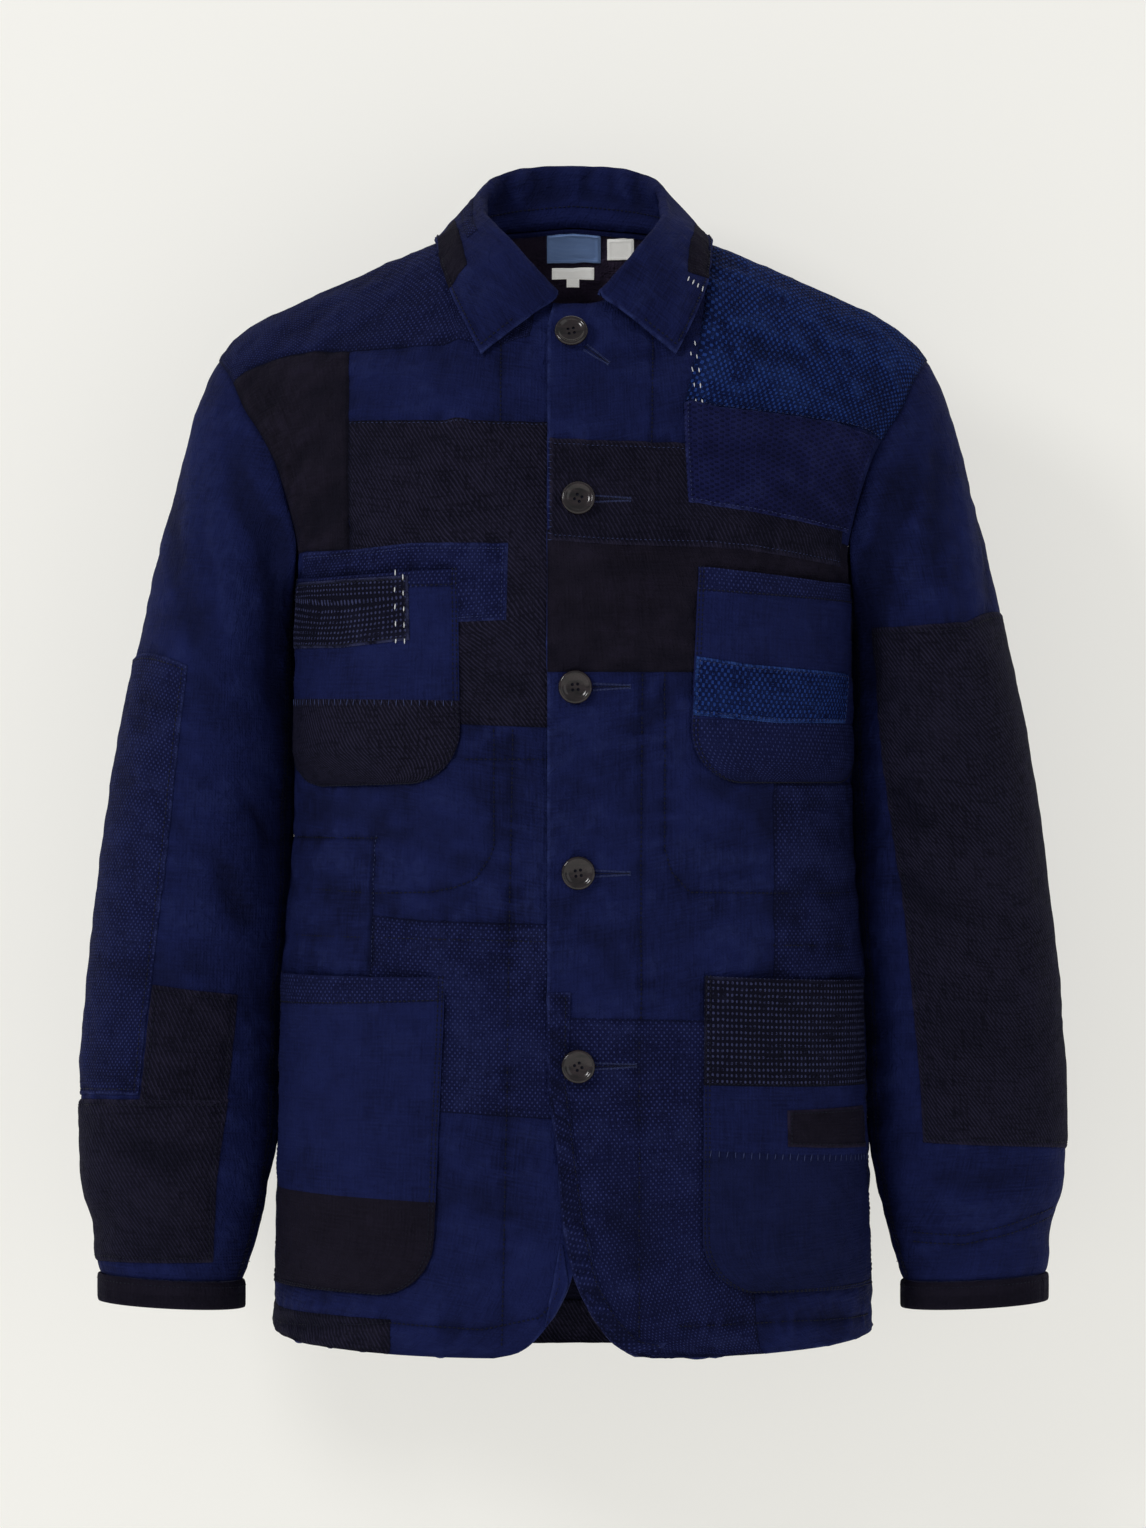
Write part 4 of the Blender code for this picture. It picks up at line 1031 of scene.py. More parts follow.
def add_sewn(name, sewn):
    """The piece's mesh: its edges turned down, or given a wall where its mouth is open."""
    ps = spaced(sewn.width, sewn.step)
    qs = spaced(sewn.height, sewn.step, sewn.seams)
    if sewn.wall:
        ps, qs = ps[1:-1], qs[1:-1]
    p, q = (grid.ravel() for grid in np.meshgrid(ps, qs, indexing="ij"))
    points, normal = sewn.surface(p, q)
    if not sewn.wall:
        turned = np.zeros((len(ps), len(qs)), bool)
        turned[[0, -1]] = True
        turned[:, [0, -1]] = True
        turned = turned.ravel()
        points[turned] -= normal[turned] * (sewn.lift + 0.8) * MM * (-1 if sewn.inside else 1)
    edge = sewn.from_edges(p, q)
    worn = 0.85 * bell((edge - 0.4) / 1.3) * (not sewn.inside)
    # Pockets keep paler edges; a flush piece's edges get painted shade instead, where they roll down
    # into the seam.
    if sewn.lift < 0.8:
        worn = worn * (0.4 if sewn.wall else -0.5)
    # Puckered ribs: painted shade in their troughs and painted light on their crests.
    worn = worn + sewn.puckered * (0.9 * sewn.wave(p, q) - 0.4)
    u, v = sewn.places(p, q).T
    # Painted shade where the panel under the piece dips; wear rubbed pale on its ridges.
    ridges_and_dips = np.clip(sewn.panel.relief(u, v) / FULL_WEAR_AND_SHADE, -1, 0.25)
    worn = np.clip(worn + 0.7 * ridges_and_dips * sewn.follow, -1, 1)
    cloth = np.column_stack([p * sewn.width, q * sewn.height]) * MM
    faces = grid_faces(len(ps), len(qs), False)
    finish, bands = sewn.finish, None
    names = [finish]
    if isinstance(finish, tuple):
        names = list(dict.fromkeys(finish))
        row = np.tile((qs[:-1] + qs[1:]) / 2, len(ps) - 1)
        band = len(sewn.seams) - np.searchsorted(sewn.seams, row)
        bands = np.array([names.index(finish[b]) for b in band])
    piece = make_piece(name, points, faces, cloth, worn, names, wall=sewn.wall, bands=bands)
    flat, area = flat_size(points.reshape(len(ps), len(qs), 3))
    nodes = [node for node in (name.removesuffix("_cloth"), *sewn.stands_for)
             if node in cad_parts]
    declare(piece, SLOTS.get(finish, "indigo_plain"), flat, area, nodes, held="laid",
            rests_on=[sewn.pocket.name if sewn.pocket else sewn.panel.name])


# --- Stitches -------------------------------------------------------------------------------

# Pitch, length and width are in mm. Slant is degrees off the line, and wander is how uneven.
Thread = namedtuple("Thread", "finish pitch length width slant wander")
THREADS = {
    "dark": Thread("thread_navy", 3.0, 2.6, 0.95, 0, 5),
    "light": Thread("thread_pale", 3.0, 1.9, 0.45, 0, 6),
    "white": Thread("thread_white", 9.4, 4.4, 0.85, 0, 8),
    "white_slant": Thread("thread_white", 3.0, 5.4, 0.9, -94, 6),
    "whip": Thread("thread_pale", 5.3, 5.4, 0.55, 86, 12),
    "edge_whip": Thread("thread_pale", 4.2, 3.4, 0.5, 84, 12),
    "satin": Thread("thread_pale", 0.85, 1.9, 0.5, 84, 8),
    "gimp": Thread("thread_navy", 1.5, 1.9, 0.8, 0, 7)}


def add_stitches(thread, points, normal):
    stitching.setdefault(thread, []).append((points, normal))


def stitch_line(panel, points, thread, lift):
    """A row of stitches along a line of the panel, this far (mm) off it."""
    places, _ = panel.path(points)
    add_stitches(thread, *panel.surface(*places.T, (lift + 0.1) * MM))


def stitch_over(sewn, p, q, thread, lift):
    """A row of stitches over a piece, at shares p across it and q up it."""
    add_stitches(thread, *sewn.surface(*np.broadcast_arrays(p, q), lift * MM))


def stitch_sides(sewn, sides, thread, inset):
    """Rows of stitches along the named sides of a piece: t, b, l and r."""
    low, left = inset / sewn.height, inset / sewn.width
    run = np.linspace(0, 1, 60)
    across, up = left + run * (1 - 2 * left), low + run * (1 - 2 * low)
    rows = {"t": (across, 1 - low), "b": (across, low), "l": (left, up), "r": (1 - left, up)}
    for side in sides:
        stitch_over(sewn, *rows[side], thread, 0.12)


def add(tree, kind, inputs=(), **settings):
    """Adds a node, a shader's unless its kind says more. Inputs go by name or in order.

    Each takes a value, a socket, or a node, whose first output in use is linked to it."""
    if not kind.startswith(("Geometry", "Function", "NodeGroup")):
        kind = "ShaderNode" + kind
    node = tree.nodes.new(kind)
    for name, value in settings.items():
        setattr(node, name, value)
    for key, value in inputs.items() if isinstance(inputs, dict) else enumerate(inputs):
        if isinstance(value, bpy.types.Node):
            value = next(socket for socket in value.outputs if socket.enabled)
        if isinstance(value, bpy.types.NodeSocket):
            tree.links.new(value, node.inputs[key])
        else:
            node.inputs[key].default_value = value
    return node


def stitch_tree():
    """Stitches along a line: a small bead of thread at every step, laid on the cloth."""
    tree = bpy.data.node_groups.new("stitches_along_a_line", "GeometryNodeTree")
    face = tree.interface
    face.new_socket("Geometry", in_out="INPUT", socket_type="NodeSocketGeometry")
    for name in ("Pitch", "Length", "Width", "Slant", "Wander"):
        face.new_socket(name, in_out="INPUT", socket_type="NodeSocketFloat")
    face.new_socket("Seed", in_out="INPUT", socket_type="NodeSocketInt")
    face.new_socket("Thread", in_out="INPUT", socket_type="NodeSocketMaterial")
    face.new_socket("Geometry", in_out="OUTPUT", socket_type="NodeSocketGeometry")
    given = tree.nodes.new("NodeGroupInput").outputs
    line = add(tree, "GeometryNodeMeshToCurve", {"Mesh": given["Geometry"]})
    steps = add(tree, "GeometryNodeResampleCurve", {"Curve": line, "Length": given["Pitch"]},
                mode="LENGTH")
    way = add(tree, "GeometryNodeInputTangent")
    out = add(tree, "GeometryNodeInputNamedAttribute", {"Name": "way_out"},
              data_type="FLOAT_VECTOR")
    turn = add(tree, "FunctionNodeAxesToRotation", (out, way), primary_axis="Z", secondary_axis="X")
    less = add(tree, "Math", (given["Wander"], -1.0), operation="MULTIPLY")
    loose = add(tree, "FunctionNodeRandomValue",
                {"Min": less, "Max": given["Wander"], "Seed": given["Seed"]}, data_type="FLOAT")
    slant = add(tree, "Math", (given["Slant"], loose), operation="ADD")
    spin = add(tree, "FunctionNodeAxisAngleToRotation", {"Axis": (0, 0, 1), "Angle": slant})
    laid = add(tree, "FunctionNodeRotateRotation", (turn, spin), rotation_space="LOCAL")
    bead = add(tree, "GeometryNodeMeshUVSphere", {"Segments": 6, "Rings": 3, "Radius": 0.5})
    smooth = add(tree, "GeometryNodeSetShadeSmooth", {"Geometry": bead})
    size = add(tree, "CombineXYZ", (given["Length"], given["Width"], given["Width"]))
    flat = add(tree, "VectorMath", (size, (1, 1, 0.75)), operation="MULTIPLY")
    uneven = add(tree, "FunctionNodeRandomValue",
                 {"Min": (0.8, 0.85, 0.85), "Max": (1.15, 1.12, 1.1), "Seed": given["Seed"]},
                 data_type="FLOAT_VECTOR")
    scale = add(tree, "VectorMath", (flat, uneven), operation="MULTIPLY")
    beads = add(tree, "GeometryNodeInstanceOnPoints",
                {"Points": steps, "Instance": smooth, "Rotation": laid, "Scale": scale})
    real = add(tree, "GeometryNodeRealizeInstances", (beads,))
    done = add(tree, "GeometryNodeSetMaterial", {"Geometry": real, "Material": given["Thread"]})
    add(tree, "NodeGroupOutput", (done,))
    return tree


def sew(tree, name, runs):
    """All the stitches of one kind, made from the lines that were kept for it."""
    thread = THREADS[name]
    points, edges, out = [], [], []
    for run, normal in runs:
        start = len(points)
        points += run.tolist()
        out += normal.tolist()
        edges += [(start + i, start + i + 1) for i in range(len(run) - 1)]
    mesh = bpy.data.meshes.new(name)
    mesh.from_pydata(points, edges, [])
    way_out = mesh.attributes.new("way_out", "FLOAT_VECTOR", "POINT")
    way_out.data.foreach_set("vector", np.array(out, np.float32).ravel())
    piece = place_object(f"stitches_{name}", mesh)
    made = piece.modifiers.new("Stitches", "NODES")
    made.node_group = tree
    values = {"Pitch": thread.pitch * MM, "Length": thread.length * MM,
              "Width": thread.width * MM, "Slant": math.radians(thread.slant),
              "Wander": math.radians(thread.wander), "Seed": len(name),
              "Thread": finishes[thread.finish]}
    for item in tree.interface.items_tree:
        if item.in_out == "INPUT" and item.name in values:
            made[item.identifier] = values[item.name]
    keep_evaluated(piece)
    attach(piece, "root")


# --- Finishes -------------------------------------------------------------------------------

# Two sets of waves, (across, down) cycles a metre, whose product is the pattern. A part of the
# product over low shows the light thread, fully from high. Both is for patterns that show at
# every crossing, rather than at every second one as in a brick wall.
Pattern = namedtuple("Pattern", "first second low high both relief")
PATTERNS = {
    "dotted": Pattern((300, 0), (0, 245), 0.2, 0.65, False, 0.5),
    "honeycomb": Pattern((262, 0), (0, 185), -0.2, 0.35, False, 0.9),
    "twill": Pattern((350, 270), (0, 0), -0.4, 0.8, False, 0.35),
    "steep_twill": Pattern((350, 215), (0, 0), -0.4, 0.8, False, 0.3),
    "rice": Pattern((325, 0), (0, 262), 0.3, 0.6, True, 0.8),
    "ribbed": Pattern((150, 0), (0, 270), 0.25, 0.7, False, 0.7),
    "plain": Pattern((420, 0), (0, 420), -0.2, 0.9, True, 0.1)}
# The colours are the cloth's own, its faded places', its light threads', and the pale one of rubbed
# ridges and edges, also painted as light on pucker crests.
Weave = namedtuple("Weave", "pattern colour faded light worn amount roughness sheen")
WEAVES = {
    # Plain weave of hand-dyed indigo cotton: matt, cloudy, with slubs and paler ridges.
    PLAIN: Weave("plain", "#0a0e2d", "#161d4a", "#1b2450", "#2b3566", 0.35, 0.85, 0.05),
    # The same cloth in a duller lot, for the lower band of a hip pocket.
    DEEP: Weave("plain", "#090e2a", "#141a41", "#181f45", "#272e56", 0.35, 0.86, 0.05),
    # Sashiko cloth woven with floats: rows of small pale points on dark indigo.
    DOTTED: Weave("dotted", "#0a0d2a", "#11163b", "#363f76", "#2c3463", 1.0, 0.88, 0.05),
    # Sashiko cloth dyed brighter: raised ovals like a honeycomb, paler on top.
    HONEY: Weave("honeycomb", "#050c2e", "#09143e", "#2a4b9c", "#335093", 0.85, 0.85, 0.06),
    # Near-black twill, its ridges running down to the right.
    TWILL: Weave("twill", "#0b0a16", "#12111f", "#323048", "#2a273d", 0.8, 0.86, 0.04),
    FLAT_TWILL: Weave("steep_twill", "#0c0b17", "#131220", "#2d2b42", "#292639", 0.7, 0.88, 0.04),
    # Black plain weave with a brown cast: flat and dull.
    BLACK: Weave("plain", "#0d0a14", "#191622", "#1d1929", "#272236", 0.3, 0.88, 0.04),
    # Rice-stitch sashiko: pale upright dashes in rows, with soft ridges between them.
    RICE: Weave("rice", "#080814", "#0e0e1e", "#454a72", "#3a3e62", 1.2, 0.88, 0.04),
    # Violet-blue cloth quilted with close rows of running stitch.
    RIBBED: Weave("ribbed", "#0f1236", "#161a44", "#060614", "#2c3362", 1.0, 0.88, 0.05),
    # The neck's lining: black-brown cotton, painted lighter than its dye as painted light, for the
    # light that falls inside the neck.
    NECK_PAINTED_LIGHT: Weave("plain", "#382f43", "#40374c", "#463c53", "#4b4158", 0.3, 0.9, 0.04),
    # The lining: smooth dark cotton.
    LINED: Weave("plain", "#0b0b1a", "#111124", "#151529", "#1c1c33", 0.3, 0.9, 0.03)}
LIGHT_THREADS = 1.6
# The near-black colour of painted shade in creases, grooves and seams, and the tint of the sheen.
PAINTED_SHADE_COLOUR, SHEEN_TINT = "#04050f", "#3a48a0"


def linear(hex_colour):
    """An sRGB hex colour as the linear RGBA that a shader takes."""
    parts = [int(hex_colour[i : i + 2], 16) / 255 for i in (1, 3, 5)]
    return [p / 12.92 if p <= 0.04045 else ((p + 0.055) / 1.055) ** 2.4 for p in parts] + [1]


def material(name, make, *values):
    """A material whose surface is the shader that make adds to its tree."""
    made = bpy.data.materials.new(name)
    made.use_nodes = True
    tree = made.node_tree
    tree.nodes.clear()
    add(tree, "OutputMaterial", {"Surface": make(tree, *values)})
    return made


def woven(tree, weave):
    """Cloth whose threads follow its own lengths, with clouds of fading, pale rubbed crests and
    edges, and painted shade in its creases and seams.
    """
    pattern = PATTERNS[weave.pattern]
    cloth = add(tree, "UVMap", uv_map="cloth")
    place = add(tree, "TexCoord").outputs["Object"]
    wander = add(tree, "TexNoise", {"Vector": place, "Scale": 190.0, "Detail": 2.0})
    off = add(tree, "VectorMath", (wander.outputs["Color"], (0.0011,) * 3), operation="MULTIPLY")
    threads = add(tree, "VectorMath", (cloth, off), operation="ADD")
    waves = []
    for across, down in (pattern.first, pattern.second):
        turns = (across * 2 * math.pi, down * 2 * math.pi, 0)
        phase = add(tree, "VectorMath", (threads, turns), operation="DOT_PRODUCT")
        wave = add(tree, "Math", (phase,), operation="COSINE")
        if pattern.both:
            wave = add(tree, "Math", (wave, 0.5, 0.5), operation="MULTIPLY_ADD")
        waves.append(wave)
    product = add(tree, "Math", waves, operation="MULTIPLY")
    mask = add(tree, "MapRange", {"Value": product, "From Min": pattern.low,
                                  "From Max": pattern.high}, interpolation_type="SMOOTHSTEP")
    cloud = add(tree, "TexNoise", {"Vector": place, "Scale": 17.0, "Detail": 5.0,
                                   "Roughness": 0.62})
    slubs = []
    for stretch in ((640.0, 60.0, 1.0), (55.0, 700.0, 1.0)):
        along = add(tree, "Mapping", {"Vector": cloth, "Scale": stretch})
        slubs.append(add(tree, "TexNoise", {"Vector": along, "Scale": 1.0, "Detail": 3.0}))
    nap = add(tree, "Math", slubs, operation="ADD")
    fading = add(tree, "MapRange", {"Value": cloud, "From Min": 0.3, "From Max": 0.7})
    streak = add(tree, "MapRange", {"Value": nap, "From Min": 0.82, "From Max": 1.2})
    base = add(tree, "Mix", {"Factor": fading, "A": linear(weave.colour),
                             "B": linear(weave.faded)}, data_type="RGBA")
    shown = add(tree, "Math", (mask, streak), operation="MULTIPLY")
    strength = add(tree, "Math", (shown, weave.amount * LIGHT_THREADS), operation="MULTIPLY",
                   use_clamp=True)
    laid = add(tree, "Mix", {"Factor": strength, "A": base, "B": linear(weave.light)},
               data_type="RGBA")
    streaks = add(tree, "Math", (streak, 0.6), operation="MULTIPLY")
    streaked = add(tree, "Mix", {"Factor": streaks, "A": laid, "B": linear(weave.faded)},
                   data_type="RGBA")
    # Washing has crinkled the cloth: soft bumps of 3 to 9 mm, half a millimetre high.
    crinkle = add(tree, "TexNoise", {"Vector": place, "Scale": 135.0, "Detail": 4.0,
                                     "Roughness": 0.62, "Distortion": 0.6})
    # Ridges and edges are rubbed pale in places, and pucker crests get painted light; creases,
    # grooves, seams and pucker troughs get painted shade.
    wear = add(tree, "Attribute", attribute_name="worn").outputs["Fac"]
    patchy = add(tree, "MapRange", {"Value": crinkle, "From Min": 0.35, "From Max": 0.65})
    rubbed = add(tree, "Math", (wear, patchy), operation="MULTIPLY", use_clamp=True)
    paler = add(tree, "Mix", {"Factor": rubbed, "A": streaked, "B": linear(weave.worn)},
                data_type="RGBA")
    # Painted shade: the colour darkens towards near-black where the attribute goes below zero, in
    # creases, grooves and seams.
    kept = add(tree, "MapRange", {"Value": wear, "From Min": 0.0, "From Max": -0.9, "To Max": 0.55})
    colour = add(tree, "Mix", {"Factor": kept, "A": paler, "B": linear(PAINTED_SHADE_COLOUR)}, data_type="RGBA")
    high = add(tree, "Math", (mask, pattern.relief), operation="MULTIPLY")
    fine = add(tree, "Math", (nap, 0.35, high), operation="MULTIPLY_ADD")
    height = add(tree, "Math", (crinkle, 1.5, fine), operation="MULTIPLY_ADD")
    bump = add(tree, "Bump", {"Height": height, "Strength": 1.0, "Distance": 0.0019})
    return add(tree, "BsdfPrincipled",
               {"Base Color": colour, "Roughness": weave.roughness, "Specular IOR Level": 0.07,
                "Sheen Weight": weave.sheen, "Sheen Roughness": 0.45,
                "Sheen Tint": linear(SHEEN_TINT), "Normal": bump})


def spun(tree, colour, paler):
    """Sewing thread: twisted cotton or polyester, matt with fine pale fibres."""
    place = add(tree, "TexCoord").outputs["Object"]
    fibres = add(tree, "TexNoise", {"Vector": place, "Scale": 900.0, "Detail": 2.0})
    mix = add(tree, "Mix", {"Factor": fibres, "A": linear(colour), "B": linear(paler)},
              data_type="RGBA")
    bump = add(tree, "Bump", {"Height": fibres, "Strength": 0.5, "Distance": 0.0002})
    return add(tree, "BsdfPrincipled", {"Base Color": mix, "Roughness": 0.7,
                                        "Specular IOR Level": 0.2, "Normal": bump})


def polished_horn(tree):
    """Dark horn, turned and polished: glossy brown-black with cloudy streaks."""
    place = add(tree, "TexCoord").outputs["Object"]
    stretched = add(tree, "Mapping", {"Vector": place, "Scale": (90.0, 90.0, 260.0)})
    streaks = add(tree, "TexNoise", {"Vector": stretched, "Scale": 1.0, "Detail": 4.0,
                                     "Distortion": 0.8})
    tone = add(tree, "ValToRGB", {"Fac": streaks})
    for stop, place, colour in zip(tone.color_ramp.elements, (0.35, 0.75), ("#090608", "#2b2124")):
        stop.position, stop.color = place, linear(colour)
    rough = add(tree, "MapRange", {"Value": streaks, "To Min": 0.1, "To Max": 0.2})
    return add(tree, "BsdfPrincipled", {"Base Color": tone, "Roughness": rough,
                                        "Specular IOR Level": 0.5})


def label_cloth(tree, colour, paler, painted_glow):
    """Damask label: smooth polyester satin with fine level ribs, with painted light: it shines to
    stand in for the light that reaches inside the neck.
    """
    cloth = add(tree, "UVMap", uv_map="cloth")
    ribs = add(tree, "TexWave", {"Vector": cloth, "Scale": 260.0, "Distortion": 0.4},
               bands_direction="Y").outputs["Fac"]
    mix = add(tree, "Mix", {"Factor": ribs, "A": linear(colour), "B": linear(paler)},
              data_type="RGBA")
    bump = add(tree, "Bump", {"Height": ribs, "Strength": 0.3, "Distance": 0.0002})
    return add(tree, "BsdfPrincipled",
               {"Base Color": mix, "Roughness": 0.6, "Specular IOR Level": 0.25,
                "Emission Color": mix, "Emission Strength": painted_glow, "Normal": bump})


def studio_paper(tree):
    """Matt paper. From behind it lets the light and the camera through."""
    tone = add(tree, "BsdfPrincipled",
               {"Base Color": linear("#a9a8a4"), "Roughness": 0.95, "Specular IOR Level": 0.05,
                "Emission Color": linear("#f4f3ee"), "Emission Strength": 0.62})
    clear = add(tree, "BsdfTransparent")
    side = add(tree, "NewGeometry").outputs["Backfacing"]
    return add(tree, "MixShader", (side, tone, clear))


for name, weave in WEAVES.items():
    finishes[name] = material(name, woven, weave)
for name, colour, paler in (("thread_navy", "#04050f", "#0c1028"),
                            ("thread_pale", "#252d56", "#434d78"),
                            ("thread_white", "#b9bcc4", "#e6e6e6")):
    finishes[name] = material(name, spun, colour, paler)
finishes["horn"] = material("horn_polished", polished_horn)
# Both labels shine a little, the white one more: painted light for the light that reaches inside the
# neck.
finishes[SLATE] = material("label_slate_woven", label_cloth, "#6c8cc6", "#8ba6d6", 0.12)
finishes[WHITE] = material("label_white_woven", label_cloth, "#dddcd8", "#f1f0ec", 0.4)


# --- The panels and what is pressed into them -------------------------------------------------


def to_the_side(place, side):
    def mirrored(u, v):
        x, y, z = place(u, v)
        return side * x, y, z

    return mirrored


def whole_back(u, v):
    """Both halves of the back, run smoothly into each other at the middle."""
    x = back_point(abs(u), v)[0]
    _, y, z = back_point(min(math.hypot(u, 0.05), 1.0), v)
    return math.copysign(x, u), y, z


def whole_sleeve(u, v):
    """The sleeve run right up to the armhole seam, its inner side resting against the body."""
    x, y, z = sleeve_point(u, v * (1 + SLEEVE_START / (1 - SLEEVE_START)))
    rests = math.exp(-(((u - 0.52) / 0.1) ** 2)) * fade(v, 0.16, 0.27) * fade(v, 1, 0.9)
    return x - 4.2 * MM * float(rests), y, z


@functools.lru_cache(None)
def collar_section(u):
    """Smooth curves of x, y and z over the collar's rows, by the share of its cloth."""
    line = np.array([whole_collar(u, row / COLLAR_ROWS) for row in range(COLLAR_ROWS + 1)])
    near = 0.5 - math.hypot(u - 0.5, 0.03)
    if near > 0:
        smooth = [whole_collar(near, row / COLLAR_ROWS) for row in range(COLLAR_ROWS + 1)]
        line[:, 1:] = np.array(smooth)[:, 1:]
    run = np.concatenate([[0], np.cumsum(np.linalg.norm(np.diff(line, axis=0), axis=1))])
    return [through(run / run[-1], line[:, k]) for k in range(3)]


def rolled_collar(u, v):
    return [float(line(v)) for line in collar_section(u)]


ROUND_ARM = (SLEEVE_SEAM_BACK - 1, SLEEVE_SEAM_BACK)
FRONT_OF_ARM = ((-0.05, 0.51), (0, 1))
left_front = Panel("front_left", front_left_point, 44, 80, 1, seed=11, calm=0.85)
right_front = Panel("front_right", front_right_point, 44, 80, -1, seed=23, calm=0.3)
whole = Panel("back", whole_back, 72, 80, -1, seed=37, u_range=(-1, 1), sewn="u0 u1 v1",
              seen=((-1, 1), (0, 1)))
left_arm = Panel("sleeve_left", whole_sleeve, 56, 60, -1, seed=51, u_range=ROUND_ARM,
                 sewn="v0 v1", crumpled=0.7, seen=FRONT_OF_ARM)
right_arm = Panel("sleeve_right", to_the_side(whole_sleeve, -1), 56, 60, 1, seed=67,
                  u_range=ROUND_ARM, sewn="v0 v1", crumpled=0.7, seen=FRONT_OF_ARM)
collar = Panel("collar", rolled_collar, 150, 64, -1, seed=83, sewn="v0", crumpled=0.4,
               seen=((0, 1), (0.5, 1)), base=COLLAR)

# Rows of stitches and seams, as (x, z) in mm. After its points, each line says its thread.
right_front.add_lines(
    ([(-84, -77), (-84, -121)], None, 0.35, 0.4),
    ([(-46, -73), (-46, -121)], "dark"),
    ([(-50, -319), (-50, -391), (-52, -398), (-62, -413), (-75, -418), (-90, -421),
      (-126, -422), (-171, -420)], "dark"),
    ([(-38, -319), (-40, -426), (-42, -560), (-45, -706)], "dark"),
    ([(-67, -337), (-18, -337), (8, -337)], "dark"),
    ([(-127, -450), (-18, -452), (10, -452)], "dark", 0.4, 0.3),
    ([(-178, -450), (-128, -450)], "dark", 0.4, 0.3),
    ([(-192, -701), (-116, -694), (-58, -697), (-21, -689), (-6, -672)], "dark", 1.2, 0.9),
    ([(-126, -386), (-127, -414), (-129, -474)], "light", 0.3, 0.3),
    ([(-126, -387), (-178, -387)], "dark", 0.4, 0.3))
left_front.add_lines(
    ([(51, -66), (50, -135)], "dark"), ([(44, -284), (43, -394), (43, -500)], "dark"),
    ([(58, -284), (58, -394), (62, -408), (74, -421), (128, -422), (179, -423)], "dark"),
    ([(-14, -423), (42, -423)], None, 0.25, 0.3), ([(42, -504), (42, -701)], "dark"),
    ([(128, -455), (181, -457)], "dark"),
    ([(68, -695), (135, -694), (191, -696)], "dark", 1.2, 0.9),
    ([(45, -140), (44, -198)], None, 0.4, 0.3), ([(44, -206), (43, -280)], None, 0.4, 0.3))
left_arm.add_lines(
    ([(311, -628), (283, -637), (252, -644), (221, -643)], "dark", 0.45, 0.35),
    ([(311, -634), (283, -643), (252, -650), (221, -649)], "dark", 0.45, 0.35))
right_arm.add_lines(
    ([(-310, -641), (-280, -642), (-250, -645), (-236, -646)], "dark", 0.4, 0.3),
    ([(-310, -648), (-280, -649), (-250, -651), (-236, -652)], "dark", 0.4, 0.3))
for arm in (left_arm, right_arm):
    for u, thread in ((SLEEVE_SEAM_FRONT, None), (SLEEVE_SEAM_FRONT - 0.012, "dark"),
                      (SLEEVE_SEAM_FRONT - 0.024, "dark"), (ROUND_ARM[0], None),
                      (ROUND_ARM[1], None)):
        if thread:
            down = [At(u, v) for v in (0.01, 0.25, 0.5, 0.75, 0.97)]
            arm.add_lines((down, thread, 0.35, 0.3))
        else:
            down = [At(u, v) for v in (0, 0.25, 0.5, 0.75, 0.98)]
            arm.add_lines((down, None, 0.7, 0.35))
    arm.add_lines(([At(u, 0.035) for u in np.linspace(0.5, 0.92, 5)], "dark", 0.4, 0.3))
whole.add_lines(
    ([At(u, 0.022) for u in np.linspace(-0.99, 0.99, 9)], "dark"),
    ([At(-0.97, 0.72), At(-0.5, 0.725), At(0, 0.728), At(0.5, 0.725), At(0.97, 0.72)],
     "dark", 0.5, 0.35),
    ([At(0, 0.03), At(0, 0.3), At(0, 0.6), At(0, 0.72)], "dark", 0.4, 0.3),
    ([At(-0.62, 0.03), At(-0.61, 0.3), At(-0.6, 0.6), At(-0.58, 0.72)], None, 0.3, 0.3),
    ([At(0.62, 0.03), At(0.61, 0.3), At(0.6, 0.6), At(0.58, 0.72)], None, 0.3, 0.3))
collar.add_lines(
    ([At(u, 0.965) for u in np.linspace(0.02, 0.98, 15)], "dark", 0.3, 0.35),
    ([At(u, 0.11) for u in np.linspace(0.03, 0.97, 15)], "dark", 0.3, 0.3),
    ([At(0.012, v) for v in (0.62, 0.8, 0.95)], "dark", 0.3, 0.3),
    ([At(0.988, v) for v in (0.62, 0.8, 0.95)], "dark", 0.3, 0.3))

# Main creases. Those of the sleeves hang from the armpit and gather at the elbow.
right_arm.add_creases(
    ([(-218, -136), (-211, -170), (-194, -195), (-190, -224), (-194, -282), (-187, -310)], 9, -3.4),
    ([(-236, -128), (-231, -175), (-222, -215), (-213, -262)], 8, 1.8),
    ([(-246, -105), (-246, -170), (-250, -215)], 9, 1.6),
    ([(-262, -150), (-254, -215), (-240, -270), (-225, -318)], 12, -1.6),
    ([(-212, -362), (-203, -376), (-194, -392)], 6, -2.0),
    ([(-230, -396), (-219, -426), (-205, -452)], 7, -2.0),
    ([(-262, -372), (-238, -392), (-214, -404)], 8, -1.4),
    ([(-285, -410), (-262, -432), (-232, -446)], 9, 1.1),
    ([(-300, -470), (-270, -478), (-235, -470)], 9, -1.1),
    ([(-296, -575), (-270, -590), (-240, -588)], 9, -1.2),
    ([(-300, -612), (-272, -622), (-244, -618)], 8, 1.0))
left_arm.add_creases(
    ([(219, -132), (212, -170), (197, -200), (192, -240), (194, -300)], 9, -3.2),
    ([(248, -130), (254, -185), (261, -245)], 8, 1.7),
    ([(236, -124), (234, -180), (228, -236)], 8, -1.6),
    ([(262, -158), (268, -210), (272, -262)], 8, -1.3),
    ([(206, -352), (216, -372), (232, -384)], 7, -1.8),
    ([(208, -410), (226, -428), (250, -436)], 8, -1.6),
    ([(258, -400), (282, -424), (300, -430)], 10, 1.1),
    ([(232, -500), (262, -512), (292, -506)], 10, -1.0),
    ([(226, -600), (256, -612), (290, -602)], 8, -1.3),
    ([(232, -622), (262, -632), (298, -622)], 7, 1.0))
